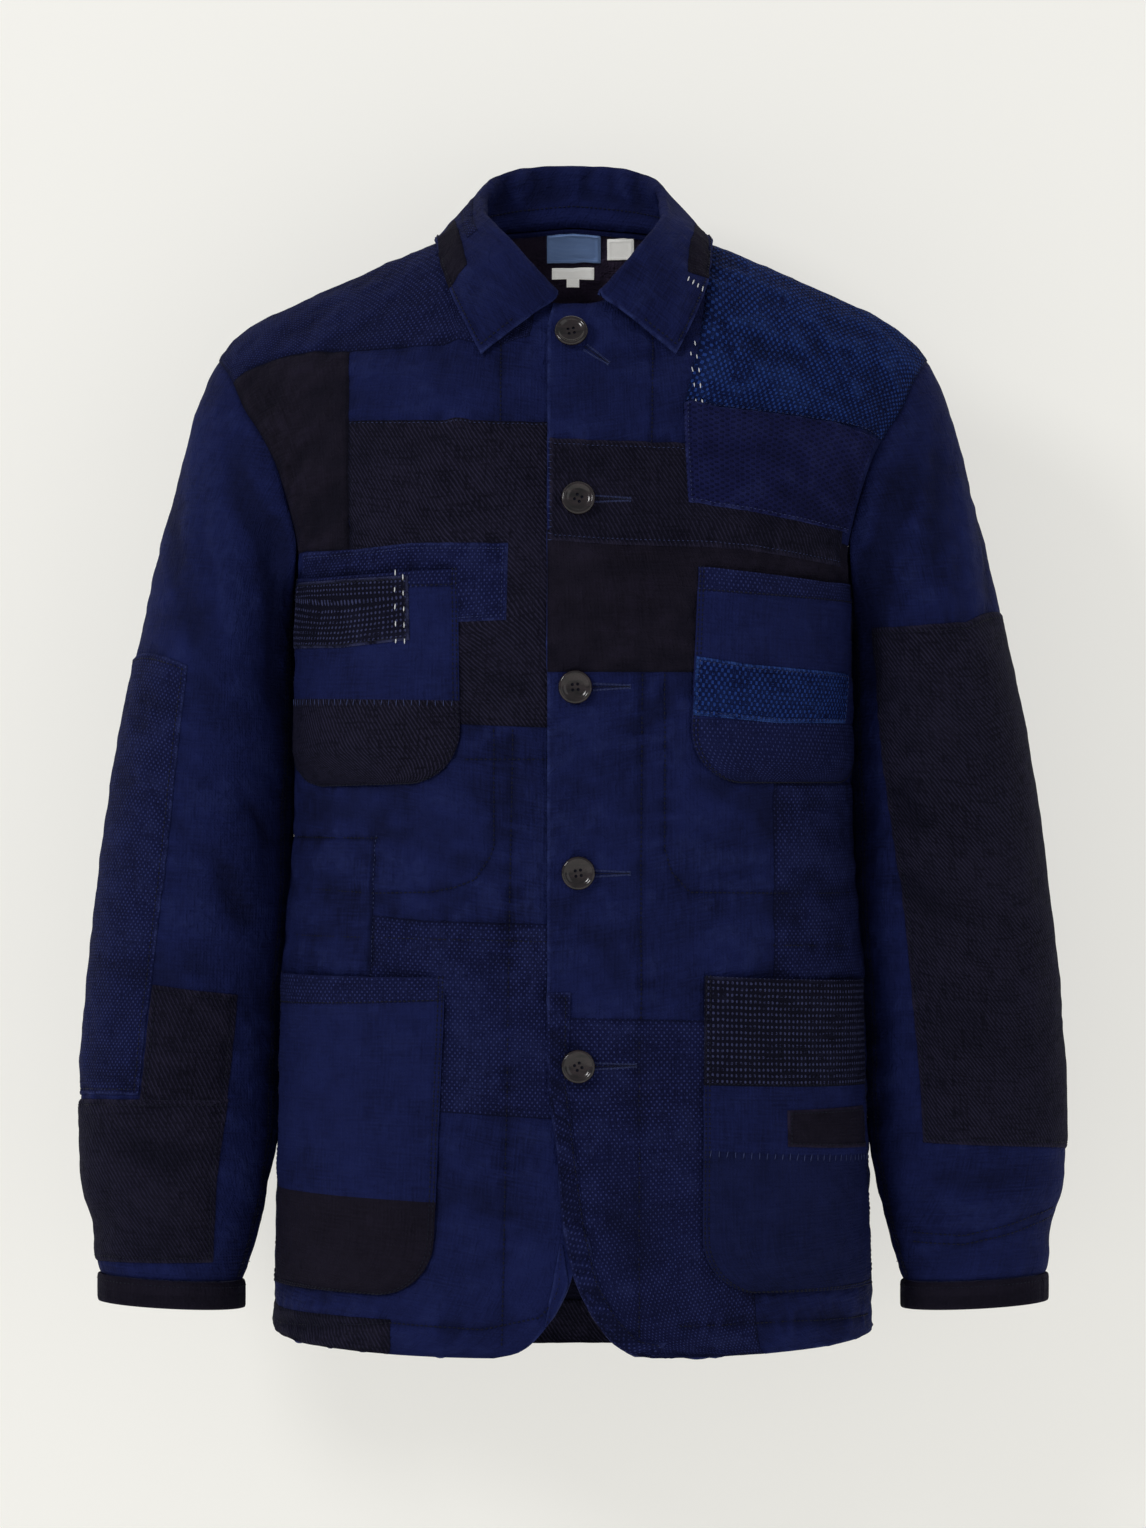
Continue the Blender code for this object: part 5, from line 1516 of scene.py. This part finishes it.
for arm in (left_arm, right_arm):
    arm.add_creases(
        ([At(0.72, 0.93), At(0.68, 0.84), At(0.64, 0.74), At(0.6, 0.66)], 11, -3.0),
        ([At(0.8, 0.94), At(0.78, 0.84), At(0.75, 0.7)], 10, 1.8),
        ([At(0.86, 0.9), At(0.86, 0.76), At(0.84, 0.62)], 11, -1.6),
        ([At(0.58, 0.56), At(0.68, 0.5), At(0.8, 0.53)], 9, -2.2),
        ([At(0.56, 0.5), At(0.66, 0.44), At(0.8, 0.45)], 9, 1.4),
        ([At(0.58, 0.4), At(0.7, 0.35), At(0.86, 0.38)], 10, -1.8),
        ([At(0.6, 0.22), At(0.74, 0.18), At(0.86, 0.22)], 9, -1.3))
right_front.add_creases(
    ([(-166, -205), (-150, -170), (-128, -140)], 11, -1.0),
    ([(-176, -360), (-140, -372), (-96, -368)], 8, -1.1),
    ([(-174, -402), (-132, -408), (-84, -404)], 7, 0.9),
    ([(-120, -632), (-70, -612), (-20, -622)], 14, -1.2),
    ([(-70, -470), (-58, -520), (-66, -566)], 12, 1.0),
    ([(-20, -355), (-24, -430), (-22, -520)], 8, 0.9))
left_front.add_creases(
    ([(152, -60), (160, -76), (169, -88), (176, -108)], 6, -1.4),
    ([(120, -52), (150, -66), (190, -74)], 9, 0.9),
    ([(62, -338), (110, -366), (164, -372)], 8, -1.1),
    ([(64, -392), (110, -402), (176, -398)], 7, 0.9),
    ([(4, -432), (30, -470), (36, -496)], 9, -0.9),
    ([(14, -585), (34, -630), (58, -662)], 12, -1.1),
    ([(-8, -210), (26, -232), (66, -240)], 8, 0.8),
    ([(-10, -84), (14, -100), (40, -96)], 9, -0.8))
whole.add_creases(
    ([At(-0.9, 0.62), At(-0.6, 0.58), At(-0.35, 0.5)], 14, -2.0),
    ([At(0.9, 0.62), At(0.62, 0.57), At(0.3, 0.51)], 14, -2.0),
    ([At(-0.85, 0.46), At(-0.5, 0.42), At(-0.2, 0.4)], 13, 1.6),
    ([At(0.82, 0.44), At(0.5, 0.4), At(0.15, 0.39)], 13, 1.5),
    ([At(-0.4, 0.9), At(-0.2, 0.84), At(0.2, 0.84), At(0.42, 0.9)], 12, -1.3),
    ([At(-0.8, 0.3), At(-0.4, 0.26), At(0.1, 0.28)], 13, -1.5),
    ([At(0.85, 0.28), At(0.45, 0.24), At(0.2, 0.2)], 13, 1.3))
for place, lean, height in (
    (0.31, 0.006, -0.8), (0.335, -0.004, 0.7), (0.37, 0.01, -0.9), (0.4, -0.006, 0.6),
    (0.425, 0.004, -0.7), (0.47, 0.012, -0.9), (0.5, -0.008, 0.7), (0.535, 0.004, -0.6),
    (0.575, -0.01, -0.9), (0.6, 0.006, 0.7), (0.64, -0.004, -0.8), (0.675, 0.008, 0.6)):
    bend = [At(place, 0.13), At(place + lean, 0.26), At(place - lean, 0.42)]
    collar.add_creases((bend, 3.8, height * 1.8))
collar.add_creases(
    ([At(0.1, 0.55), At(0.12, 0.72), At(0.09, 0.9)], 6, 0.8),
    ([At(0.2, 0.6), At(0.22, 0.75), At(0.2, 0.92)], 5, -0.8),
    ([At(0.8, 0.6), At(0.79, 0.75), At(0.82, 0.92)], 5, -0.8),
    ([At(0.9, 0.56), At(0.88, 0.72), At(0.91, 0.9)], 6, 0.7),
    ([At(0.3, 0.14), At(0.5, 0.2), At(0.7, 0.14)], 5, -0.8),
    ([At(0.34, 0.7), At(0.5, 0.75), At(0.66, 0.7)], 7, -0.8))


# --- The pieces sewn on the panels ------------------------------------------------------------


def on_neck(x):
    """The place across a front where its neck seam passes this far (mm) from the middle."""
    start = math.asin(float(front_edge(NECK_FRONT_HEIGHT)) / NECK_HALF)
    return NECK_SHARE * (math.asin(x * MM / NECK_HALF) - start) / (math.pi / 2 - start)


def on_hem(panel, x):
    """The place across a front where its hem passes x (mm)."""
    away = np.abs(panel.points[:, 0, 0])
    return float(np.interp(abs(x) * MM, away, panel.us))


chest_right = Pocket(
    "pocket_chest_right_cloth", right_front, (DOTTED, PLAIN, TWILL),
    [(-177.5, -221.5, 0), (-72.5, -217, 0), (-71, -351.5, 34), (-181, -355, 22)],
    [(-230, -228), (-298, -300)], 2.6, 2.2)
chest_left = Pocket(
    "pocket_chest_left_cloth", left_front, (DOTTED, PLAIN, DOTTED),
    [(79, -215.5, 0), (178.5, -225, 0), (181, -352, 12), (73, -352, 33)],
    [(-231, -239), (-311, -314)], 2.4, 2.2)
hip_right = Pocket(
    "pocket_hip_right_cloth", right_front, (DOTTED, PLAIN, BLACK),
    [(-188, -475, 0), (-80.5, -475, 0), (-89.5, -677, 36), (-191.5, -675, 0)],
    [(-495, -490), (-613, -617)], 3.4, 2.4)
hip_left = Pocket(
    "pocket_hip_left_cloth", left_front, (RICE, PLAIN, DEEP),
    [(83, -474, 0), (186.5, -479.5, 0), (192, -677, 0), (81.5, -674, 35)],
    [(-543, -547), (-584, -592)], 3.0, 2.4)
hip_left.stands_for = ("patch_hip_rice",)
pockets = chest_right, chest_left, hip_right, hip_left

# Pieces set in flush are part of the patchwork. Those on the collar are flush with it too.
flush = functools.partial(Sewn, lift=0.5, groove=0.55)
on_collar = functools.partial(Sewn, collar, groove=0.25)
in_the_back = functools.partial(Sewn, whole, inside=True)
sewn = {
    "yoke_right": flush(
        right_front, DOTTED, [At(1, 1), At(on_neck(25), 1)],
        [Level(1, -219, -91), (-201, -81), (-181, -76), (-161, -74), (-144, -75), (-98, -73),
         (-65, -71), (-44, -72), (-28, -67)], right=[(-26, -60)]),
    "panel_armhole_right": flush(
        right_front, BLACK,
        [Level(1, -219, -91), (-201, -81), (-181, -76), (-161, -74), (-143.5, -75)],
        [Level(1, -177.5, -207), (-143.5, -205)], [Level(1, -199, -132), Level(1, -186, -164)]),
    "panel_twill_right": flush(
        right_front, TWILL, [(-143.5, -121), (-80, -122), (-16, -123), (12, -123.5)],
        [(-143.5, -315), (-70, -315), (-18, -317), (12, -317.5)], lift=0.55),
    "panel_side_right": flush(
        right_front, PLAIN, [Level(1, -183, -386), (-126, -387)],
        [Level(1, -190, -480), (-129, -480)], right=[(-127, -414)]),
    "panel_dotted_right": flush(
        right_front, DOTTED, [(-127.5, -436), (-95, -439), (-18, -441), (13, -442)],
        [(-129, -557), (-84, -560), (-14, -564), (9, -565)], [(-129, -474)]),
    "panel_hem_right": flush(
        right_front, FLAT_TWILL, [Level(1, -192, -692), (-153, -691), (-116, -692)],
        [At(1, 0), At(on_hem(right_front, -117), 0)]),
    "yoke_left": flush(
        left_front, HONEY, [At(0.475, 1), At(1, 1)],
        [(71, -110), (88, -113), (130, -117), (169, -122), Level(1, 199, -133)],
        [(85, -42), (80, -75)], [Level(1, 221, -93), Level(1, 211, -113)], lift=0.55),
    "panel_dark_left": flush(
        left_front, BLACK, [Level(0, -16.2, -192), (80, -196), (130, -201), Level(1, 178, -202)],
        [Level(0, -16.2, -282), (74, -282), Level(1, 182, -282)]),
    "panel_side_left": flush(
        left_front, DOTTED, [(128, -352), Level(1, 182, -352)], [(128, -480), Level(1, 190, -480)]),
    "panel_low_left": flush(
        left_front, DOTTED, [Level(0, -16.2, -498), (-3, -500), (81, -502), (121, -503)],
        [At(0, 0), At(on_hem(left_front, 121), 0)], right=[(121, -600)]),
    "patch_dotted_right_cloth": Sewn(
        right_front, DOTTED, [(-173.5, -205), (-135, -203.4), (-102, -200.2), (-40.8, -200.6)],
        [(-173, -250), (-77.5, -250.5), (-42, -249.3)]),
    "patch_band_left_cloth": Sewn(
        left_front, FLAT_TWILL, [(-14.8, -134), (70, -137), (120, -142), (176, -150)],
        [(-14.8, -199), (30, -202), (80, -203), (112, -204.8), (149, -210), (171, -213.6)]),
    "patch_ribbed_left_cloth": Sewn(
        left_front, RIBBED, [(70.5, -111), (130, -117), (169, -122), (194, -131.5)],
        [(73, -175), (115, -180.5), (150, -187), (175, -192)], [(71, -140)], [(184.5, -155)], 2.6),
    "edge_band_cloth": Sewn(
        left_front, DOTTED, [Level(0, -16.2, -484), (-1.1, -484)], [At(0, 0), (59.5, -705)],
        right=[(-2.8, -540), (2.1, -589), (8, -629), (16.6, -668), (28, -689), (42.4, -703.4)],
        puckered=1.1),
    "facing_right": Sewn(
        right_front, PLAIN, [(-8.3, -642), (-6.5, -643)], [(-18.3, -695.5), (-8.5, -694.5)],
        right=[(-2.6, -668)], lift=1.0)}
on_pockets = {
    "patch_pocket_rice_cloth": Sewn(
        right_front, RICE, [(-174.5, -223), (-102.3, -221)],
        [(-177.5, -265.5), (-147, -266), (-102.3, -261.6)],
        pocket=chest_right, follow=0.4, lift=1.2, step=2.2),
    "patch_pocket_strip_cloth": Sewn(
        left_front, HONEY, [(77.5, -272), (111.6, -277), (175, -282)],
        [(75.5, -309), (129, -314), (172.5, -313.8)],
        pocket=chest_left, follow=0.4, lift=1.2, step=2.2),
    "patch_hip_dark_cloth": Sewn(
        left_front, BLACK, [(135, -560), (184, -560)], [(135, -583), (185.5, -587)],
        pocket=hip_left, follow=0.4, lift=1.0, step=2.2)}
on_arms = {
    "patch_sleeve_left_cloth": Sewn(
        left_arm, TWILL, [(191, -253), (253, -249), Level(-0.03, 281, -250)],
        [(226, -584), (277, -586), Level(-0.03, 321, -592)],
        [(203, -363), (214, -439), (224, -545)], lift=1.0),
    "patch_sleeve_right_long_cloth": Sewn(
        right_arm, DOTTED, [Level(-0.03, -286, -279), (-247.5, -277)],
        [Level(-0.03, -321, -557), (-280, -553)],
        right=[(-252.5, -318), (-262, -408), (-276, -516)], lift=1.0),
    "patch_sleeve_right_upper_cloth": Sewn(
        right_arm, FLAT_TWILL, [(-271, -482), (-216, -489)], [(-279.5, -560), (-224, -560)],
        [(-274.5, -516)], [(-221, -541)], 0.9),
    "patch_sleeve_right_low_cloth": Sewn(
        right_arm, FLAT_TWILL, [Level(-0.03, -321, -560), (-279, -556), (-222.5, -556)],
        [Level(-0.03, -310, -664), (-233, -662)], right=[(-229.5, -605)], lift=1.1)}
on_leaves = {
    "patch_leaf_right": on_collar(
        BLACK, [(-77, 16), (-71.2, -3.3)], [(-87.6, -12.4), (-79.7, -36)], [(-87, 2)],
        [(-67.3, -19.7)], 0.6),
    "patch_leaf_dotted": on_collar(
        DOTTED, [(-69, 37), (-59, 37)], [(-67.5, -1), (-58.5, 5)], [(-72, 17)], [(-63, 18)], 0.5),
    "patch_leaf_left": on_collar(
        BLACK, [(79.5, 13), (84.5, 7)], [(72.5, -25), (88, -30)], [(75, -3)], [(87.5, -8)], 0.6)}
# Inside the back: the dark neck lining, the hem's facing, and the blank labels.
inside = {
    "lining_neck_cloth": in_the_back(
        NECK_PAINTED_LIGHT, [At(-0.405, 1), At(0.405, 1)], [(-72, -80), (72, -80)], lift=0.9),
    "hem_facing_cloth": in_the_back(
        TWILL, [(-118, -702), (118, -702)], [At(-0.55, 0), At(0.55, 0)], lift=0.9),
    "label_main_cloth": in_the_back(
        SLATE, [(-18, 16.2), (19, 16.2)], [(-18, -2.8), (19, -2.8)], lift=2.2),
    "label_side_cloth": in_the_back(
        WHITE, [(23.5, 11.5), (41.5, 11.5)], [(23.5, -1.5), (41.5, -1.5)], lift=2.2),
    "label_low_cloth": in_the_back(
        WHITE, [(-14.5, -6.2), (14.5, -6.2)], [(-14.5, -13.4), (14.5, -13.4)], lift=2.2),
    "label_tab_cloth": in_the_back(
        WHITE, [(-4.4, -11), (4.3, -11)], [(-4.4, -18.6), (4.3, -18.6)], lift=1.9)}

# The panels are pressed down under what is sewn on them, and grooved along its edges, where the
# grooves also get painted shade.
for pocket in pockets:
    pocket.panel.covers.append(pocket)
    edge = [At(*place) for place in pocket.outline[::6]]
    pocket.panel.add_lines((edge, None, 0.8, 0.6))
for piece in [*sewn.values(), *on_arms.values(), *on_leaves.values()]:
    piece.panel.covers.append(piece)
    edge = [At(*place) for place in piece.outline[::6]] + [At(*piece.outline[0])]
    piece.panel.add_lines((edge, None, piece.groove, 0.5))

sewn.update({pocket.name: pocket for pocket in pockets})
sewn.update({**on_pockets, **on_arms, **on_leaves, **inside})
for name, piece in sewn.items():
    add_sewn(name, piece)


# --- The panels themselves --------------------------------------------------------------------

add_panel("back", whole, 108, 186)
add_panel("front_left", left_front, 98, 300)
add_panel("front_right", right_front, 98, 300)
for side, arm in (("left", left_arm), ("right", right_arm)):
    add_panel(f"sleeve_{side}", arm, 90, 205, (ROUND_ARM[0], SLEEVE_SEAM_FRONT))
    add_panel(f"under_sleeve_{side}", arm, 50, 150, (SLEEVE_SEAM_FRONT, ROUND_ARM[1]))
add_panel("collar", collar, 176, 62, inner=PLAIN, wall=COLLAR)


def add_cuff(node, side):
    """The cuff's binding: a rounded band folded over the sleeve's raw end."""
    round_arm, section = 132, 16
    turns = np.arange(round_arm) / round_arm
    outer = np.array([cuff_point(u) for u in turns])
    inward = np.array([cuff_point(u + 0.5) - cuff_point(u) for u in turns])
    inward /= np.linalg.norm(inward, axis=1)[:, None]
    swell = 0.45 * MM * ripple(turns * 75, 7 if side > 0 else 9)
    to_side = np.array([side, 1, 1])
    rings = []
    for step in range(section):
        angle = 2 * math.pi * step / section
        deep = (BINDING / 2) * (1 - math.copysign(abs(math.cos(angle)) ** 0.45, math.cos(angle)))
        up = (CUFF_HEIGHT / 2) * math.copysign(abs(math.sin(angle)) ** 0.3, math.sin(angle))
        out = swell * math.cos(angle)
        ring = outer + inward * np.reshape(deep - out, (-1, 1)) + np.array([0, 0, up])
        rings.append(ring * to_side)
    points = np.array(rings).transpose(1, 0, 2).reshape(-1, 3)
    faces = []
    for i in range(round_arm):
        for j in range(section):
            k, m = (i + 1) % round_arm, (j + 1) % section
            corners = [i * section + j, k * section + j, k * section + m, i * section + m]
            faces.append(corners if side < 0 else corners[::-1])
    round_length = np.linalg.norm(np.diff(outer, axis=0), axis=1).sum()
    cloth = np.column_stack([np.repeat(turns * round_length, section),
                             np.tile(np.arange(section) * 0.0027, round_arm)])
    rubbed = np.tile([0.5 if step in (3, 4, 5, 11, 12, 13) else -0.1 for step in range(section)],
                     round_arm)
    piece = make_piece(node + "_cloth", points, faces, cloth, rubbed, [BLACK])
    flat = round_length, CUFF_HEIGHT + BINDING
    declare(piece, "indigo_dark_twill", flat, flat[0] * flat[1], [node], held="folded")
    stitched = outer + np.array([0, 0, CUFF_HEIGHT / 2 - 3.4 * MM]) - inward * 0.1 * MM
    near = turns <= 0.5
    add_stitches("dark", (stitched * to_side)[near], (-inward * to_side)[near])


add_cuff("cuff_left", 1)
add_cuff("cuff_right", -1)


# --- Buttons and buttonholes ------------------------------------------------------------------

# Half of the button's section, from the middle of its face over the rim to its flat back.
BUTTON_ROUND = (
    (0.001, 1.7), (3.0, 1.7), (5.6, 1.8), (7.1, 2.1), (7.9, 2.7),
    (8.5, 3.15), (9.1, 3.35), (9.7, 3.25), (10.25, 2.85),
    (10.6, 2.2), (10.65, 1.5), (10.35, 0.8), (9.7, 0.25), (8.6, 0), (0.001, 0))
BUTTON_AROUND = 56


def add_button(number, button):
    """A turned horn button with a soft rim and four holes, as it lies on the cloth."""
    profile = np.array(BUTTON_ROUND) * MM
    rings = []
    for step in range(BUTTON_AROUND):
        angle = 2 * math.pi * step / BUTTON_AROUND
        rings.append(np.column_stack([profile[:, 0] * math.cos(angle),
                                      profile[:, 0] * math.sin(angle), profile[:, 1]]))
    rows = len(profile)
    faces = []
    for i in range(BUTTON_AROUND):
        for j in range(rows - 1):
            k = (i + 1) % BUTTON_AROUND
            faces.append((i * rows + j, i * rows + j + 1, k * rows + j + 1, k * rows + j))
    mesh = bpy.data.meshes.new(f"button_{number}_horn")
    mesh.from_pydata(np.concatenate(rings).tolist(), [], faces)
    shape = bmesh.new()
    shape.from_mesh(mesh)
    bmesh.ops.remove_doubles(shape, verts=shape.verts, dist=0.02 * MM)
    bmesh.ops.recalc_face_normals(shape, faces=shape.faces)
    shape.to_mesh(mesh)
    shape.free()
    mesh.materials.append(finishes["horn"])
    piece = place_object(mesh.name, mesh)
    drills = []
    for hole in range(4):
        turn = math.radians(button.turn_deg + 45 + 90 * hole)
        out = BUTTON_HOLE_APART / math.sqrt(2)
        bpy.ops.mesh.primitive_cylinder_add(
            vertices=BUTTON_HOLE_SIDES, radius=BUTTON_HOLE_RADIUS, depth=BUTTON_DRILL,
            location=(out * math.cos(turn), out * math.sin(turn), 0))
        drills.append(bpy.context.object)
        cut = piece.modifiers.new("Hole", "BOOLEAN")
        cut.operation = "DIFFERENCE"
        cut.object = drills[-1]
    keep_evaluated(piece)
    for drill in drills:
        bpy.data.objects.remove(drill)
    # The sewing thread fills the bottoms of the holes.
    shape = bmesh.new()
    shape.from_mesh(piece.data)
    bmesh.ops.create_circle(shape, cap_ends=True, radius=BUTTON_THREAD_RADIUS, segments=24,
                            matrix=Matrix.Translation((0, 0, BUTTON_THREAD_HEIGHT)))
    shape.faces.ensure_lookup_table()
    shape.faces[-1].material_index = 1
    shape.to_mesh(piece.data)
    shape.free()
    piece.data.materials.append(finishes["thread_navy"])
    x, z, reach = button.x * MM, button.z * MM, BUTTON_SEAT_REACH
    around = [(x, z)] + [(x + i * reach, z + j * reach) for i in (-1, 1) for j in (-1, 1)]
    outermost = min(float(front_y(*place)) for place in around)
    lift = float(lap_lift(x)) + button.layers * (AIR + PATCH) + AIR + BUTTON_SEAT
    slope = float(front_y(x, z + reach) - front_y(x, z - reach)) / (2 * reach)
    stand = Matrix.Translation((x, outermost - lift, z))
    stand = stand @ Matrix.Rotation(math.pi / 2 - math.atan(slope), 4, "X")
    piece.data.transform(stand)
    piece.data.polygons.foreach_set("use_smooth", np.ones(len(piece.data.polygons), bool))
    piece.data.set_sharp_from_angle(angle=math.radians(40))
    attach(piece, "root")
    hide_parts(f"button_{number}")


for number, button in enumerate(BUTTONS, start=1):
    add_button(number, button)

# Each buttonhole is a worked slit that runs out from under its button: a row of close satin
# stitches each side of its dark cut, and a bar across the end. Start and end are (x, z) in mm.
SLITS = table("x z end_x end_z lift", (8, -75, 22, -84.5, 0.1), (13, -173, 35, -173.3, 1.3),
              (13, -291.5, 35, -291.2, 0.1), (13, -409, 35, -409, 0.1),
              (13, -530.5, 39, -530.2, 0.6))
for slit in SLITS:
    start, end = np.array([slit.x, slit.z]), np.array([slit.end_x, slit.end_z])
    way = (end - start) / np.linalg.norm(end - start)
    across = np.array([-way[1], way[0]])
    past = way * 0.8
    for thread, lift, first, last in (
        ("satin", 0, start + across * -1.0 * 2.0, end + across * -1.0 * 0.75),
        ("satin", 0, start + across * 2.0, end + across * 0.75), ("gimp", 0.25, start, end),
        ("satin", 0, end + across * 1.3 + past, end - across * 1.3 + past)):
        stitch_line(left_front, [tuple(first), tuple(last)], thread, slit.lift + lift)


# --- Stitching --------------------------------------------------------------------------------

for panel in (left_front, right_front, left_arm, right_arm, whole, collar):
    for line in panel.lines:
        if line.thread:
            stitch_line(panel, line.points, line.thread, 0.45)
for name, sides, thread, inset in (
    ("patch_dotted_right_cloth", "trb", "light", STITCH_IN),
    ("patch_band_left_cloth", "tb", "light", STITCH_IN),
    ("patch_ribbed_left_cloth", "lb", "light", 2.2), ("edge_band_cloth", "r", "dark", STITCH_IN),
    ("facing_right", "l", "dark", STITCH_IN), ("panel_twill_right", "t", "light", 1.6),
    ("yoke_left", "b", "light", 1.6), *((name, "tblr", "dark", STITCH_IN) for name in on_arms),
    ("patch_pocket_rice_cloth", "tbr", "dark", 2.4),
    ("patch_pocket_strip_cloth", "tblr", "light", 2.4),
    ("patch_hip_dark_cloth", "tblr", "dark", 2.4)):
    stitch_sides(sewn[name], sides, thread, inset)
run = np.linspace(0, 1, 90)
for pocket, whipped in ((chest_right, True), (chest_left, False), (hip_right, False),
                        (hip_left, True)):
    for inset in (1.3, 3.8):
        low, left = inset / pocket.height, inset / pocket.width
        down = 1 - run * (1 - low)
        for p, q in ((left, down), (1 - left, down), (left + run * (1 - 2 * left), low)):
            stitch_over(pocket, p, q, "dark", 0.2)
    between = 0.03 + run * 0.94
    stitch_over(pocket, between, pocket.seams[-1] + 1.2 / pocket.height, "dark", 0.25)
    if whipped:
        stitch_over(pocket, between, pocket.seams[0] - 1.6 / pocket.height, "whip", 0.35)

# White sashiko stitches, by hand: short columns that are not quite straight.
for panel, points, thread, lift, over in (
    (left_front, [(75, -79), (78, -110)], "white", 0.9, None),
    (left_front, [(78, -71), (82, -110)], "white", 0.9, None),
    (right_front, [(-110, -219), (-110.5, -262)], "white", 4.6, chest_right),
    (right_front, [(-105, -222), (-105, -262)], "white", 4.6, chest_right),
    (collar, [(72.3, -30.5), (81.8, -36.1)], "white_slant", 0.9, None),
    (left_front, [(-14.6, -137), (-14.6, -199)], "edge_whip", 1.5, None)):
    if over:
        places, here = panel.path(points)
        rise = (over.pocket_rise(here) + 1.3) * MM
        add_stitches(thread, *panel.surface(*places.T, rise, over.follow))
    else:
        stitch_line(panel, points, thread, lift)

tree = stitch_tree()
for name, runs in stitching.items():
    sew(tree, name, runs)
bpy.data.node_groups.remove(tree)


# --- Studio -----------------------------------------------------------------------------------

FLOOR, WALL = -0.95, 0.15
CAMERA_AWAY, CAMERA_HEIGHT, LENS = 3.5, -0.340, 125.9


def add_paper(name, corners):
    mesh = bpy.data.meshes.new(name)
    mesh.from_pydata(corners, [], [(0, 1, 2, 3)])
    mesh.materials.append(studio)
    place_object(name, mesh)


studio = material("studio_paper", studio_paper)
add_paper("studio_floor", [(-6, -8, FLOOR), (6, -8, FLOOR), (6, 6, FLOOR), (-6, 6, FLOOR)])
add_paper("studio_wall", [(-6, WALL, FLOOR), (6, WALL, FLOOR), (6, WALL, 4), (-6, WALL, 4)])


def add_light(name, place, target, size, power):
    light = bpy.data.lights.new(name, "AREA")
    light.shape, light.size, light.energy = "DISK", size, power
    lamp = place_object(name, light)
    lamp.location = place
    lamp.rotation_euler = (Vector(target) - Vector(place)).to_track_quat("-Z", "Y").to_euler()


add_light("key", (-2.7, -3.0, 1.5), (0, 0, -0.35), 1.2, 62)
add_light("fill", (2.4, -3.2, 0.4), (0, 0, -0.4), 2.6, 10)
add_light("rear", (0.6, 3.0, 1.6), (0, 0, -0.3), 2.0, 30)
world = bpy.data.worlds.new("pale_room")
world.use_nodes = True
backdrop = world.node_tree.nodes["Background"].inputs
backdrop["Color"].default_value = linear("#f2f3f6")
backdrop["Strength"].default_value = 0.42
bpy.context.scene.world = world
bpy.context.scene.view_settings.view_transform = "Standard"

lens = bpy.data.cameras.new("camera")
lens.lens = LENS
lens.clip_end = 30
camera = place_object("camera", lens)
camera.location = (0, -CAMERA_AWAY, CAMERA_HEIGHT)
camera.rotation_euler = (math.pi / 2, 0, 0)
bpy.context.scene.camera = camera

bpy.context.view_layer.update()
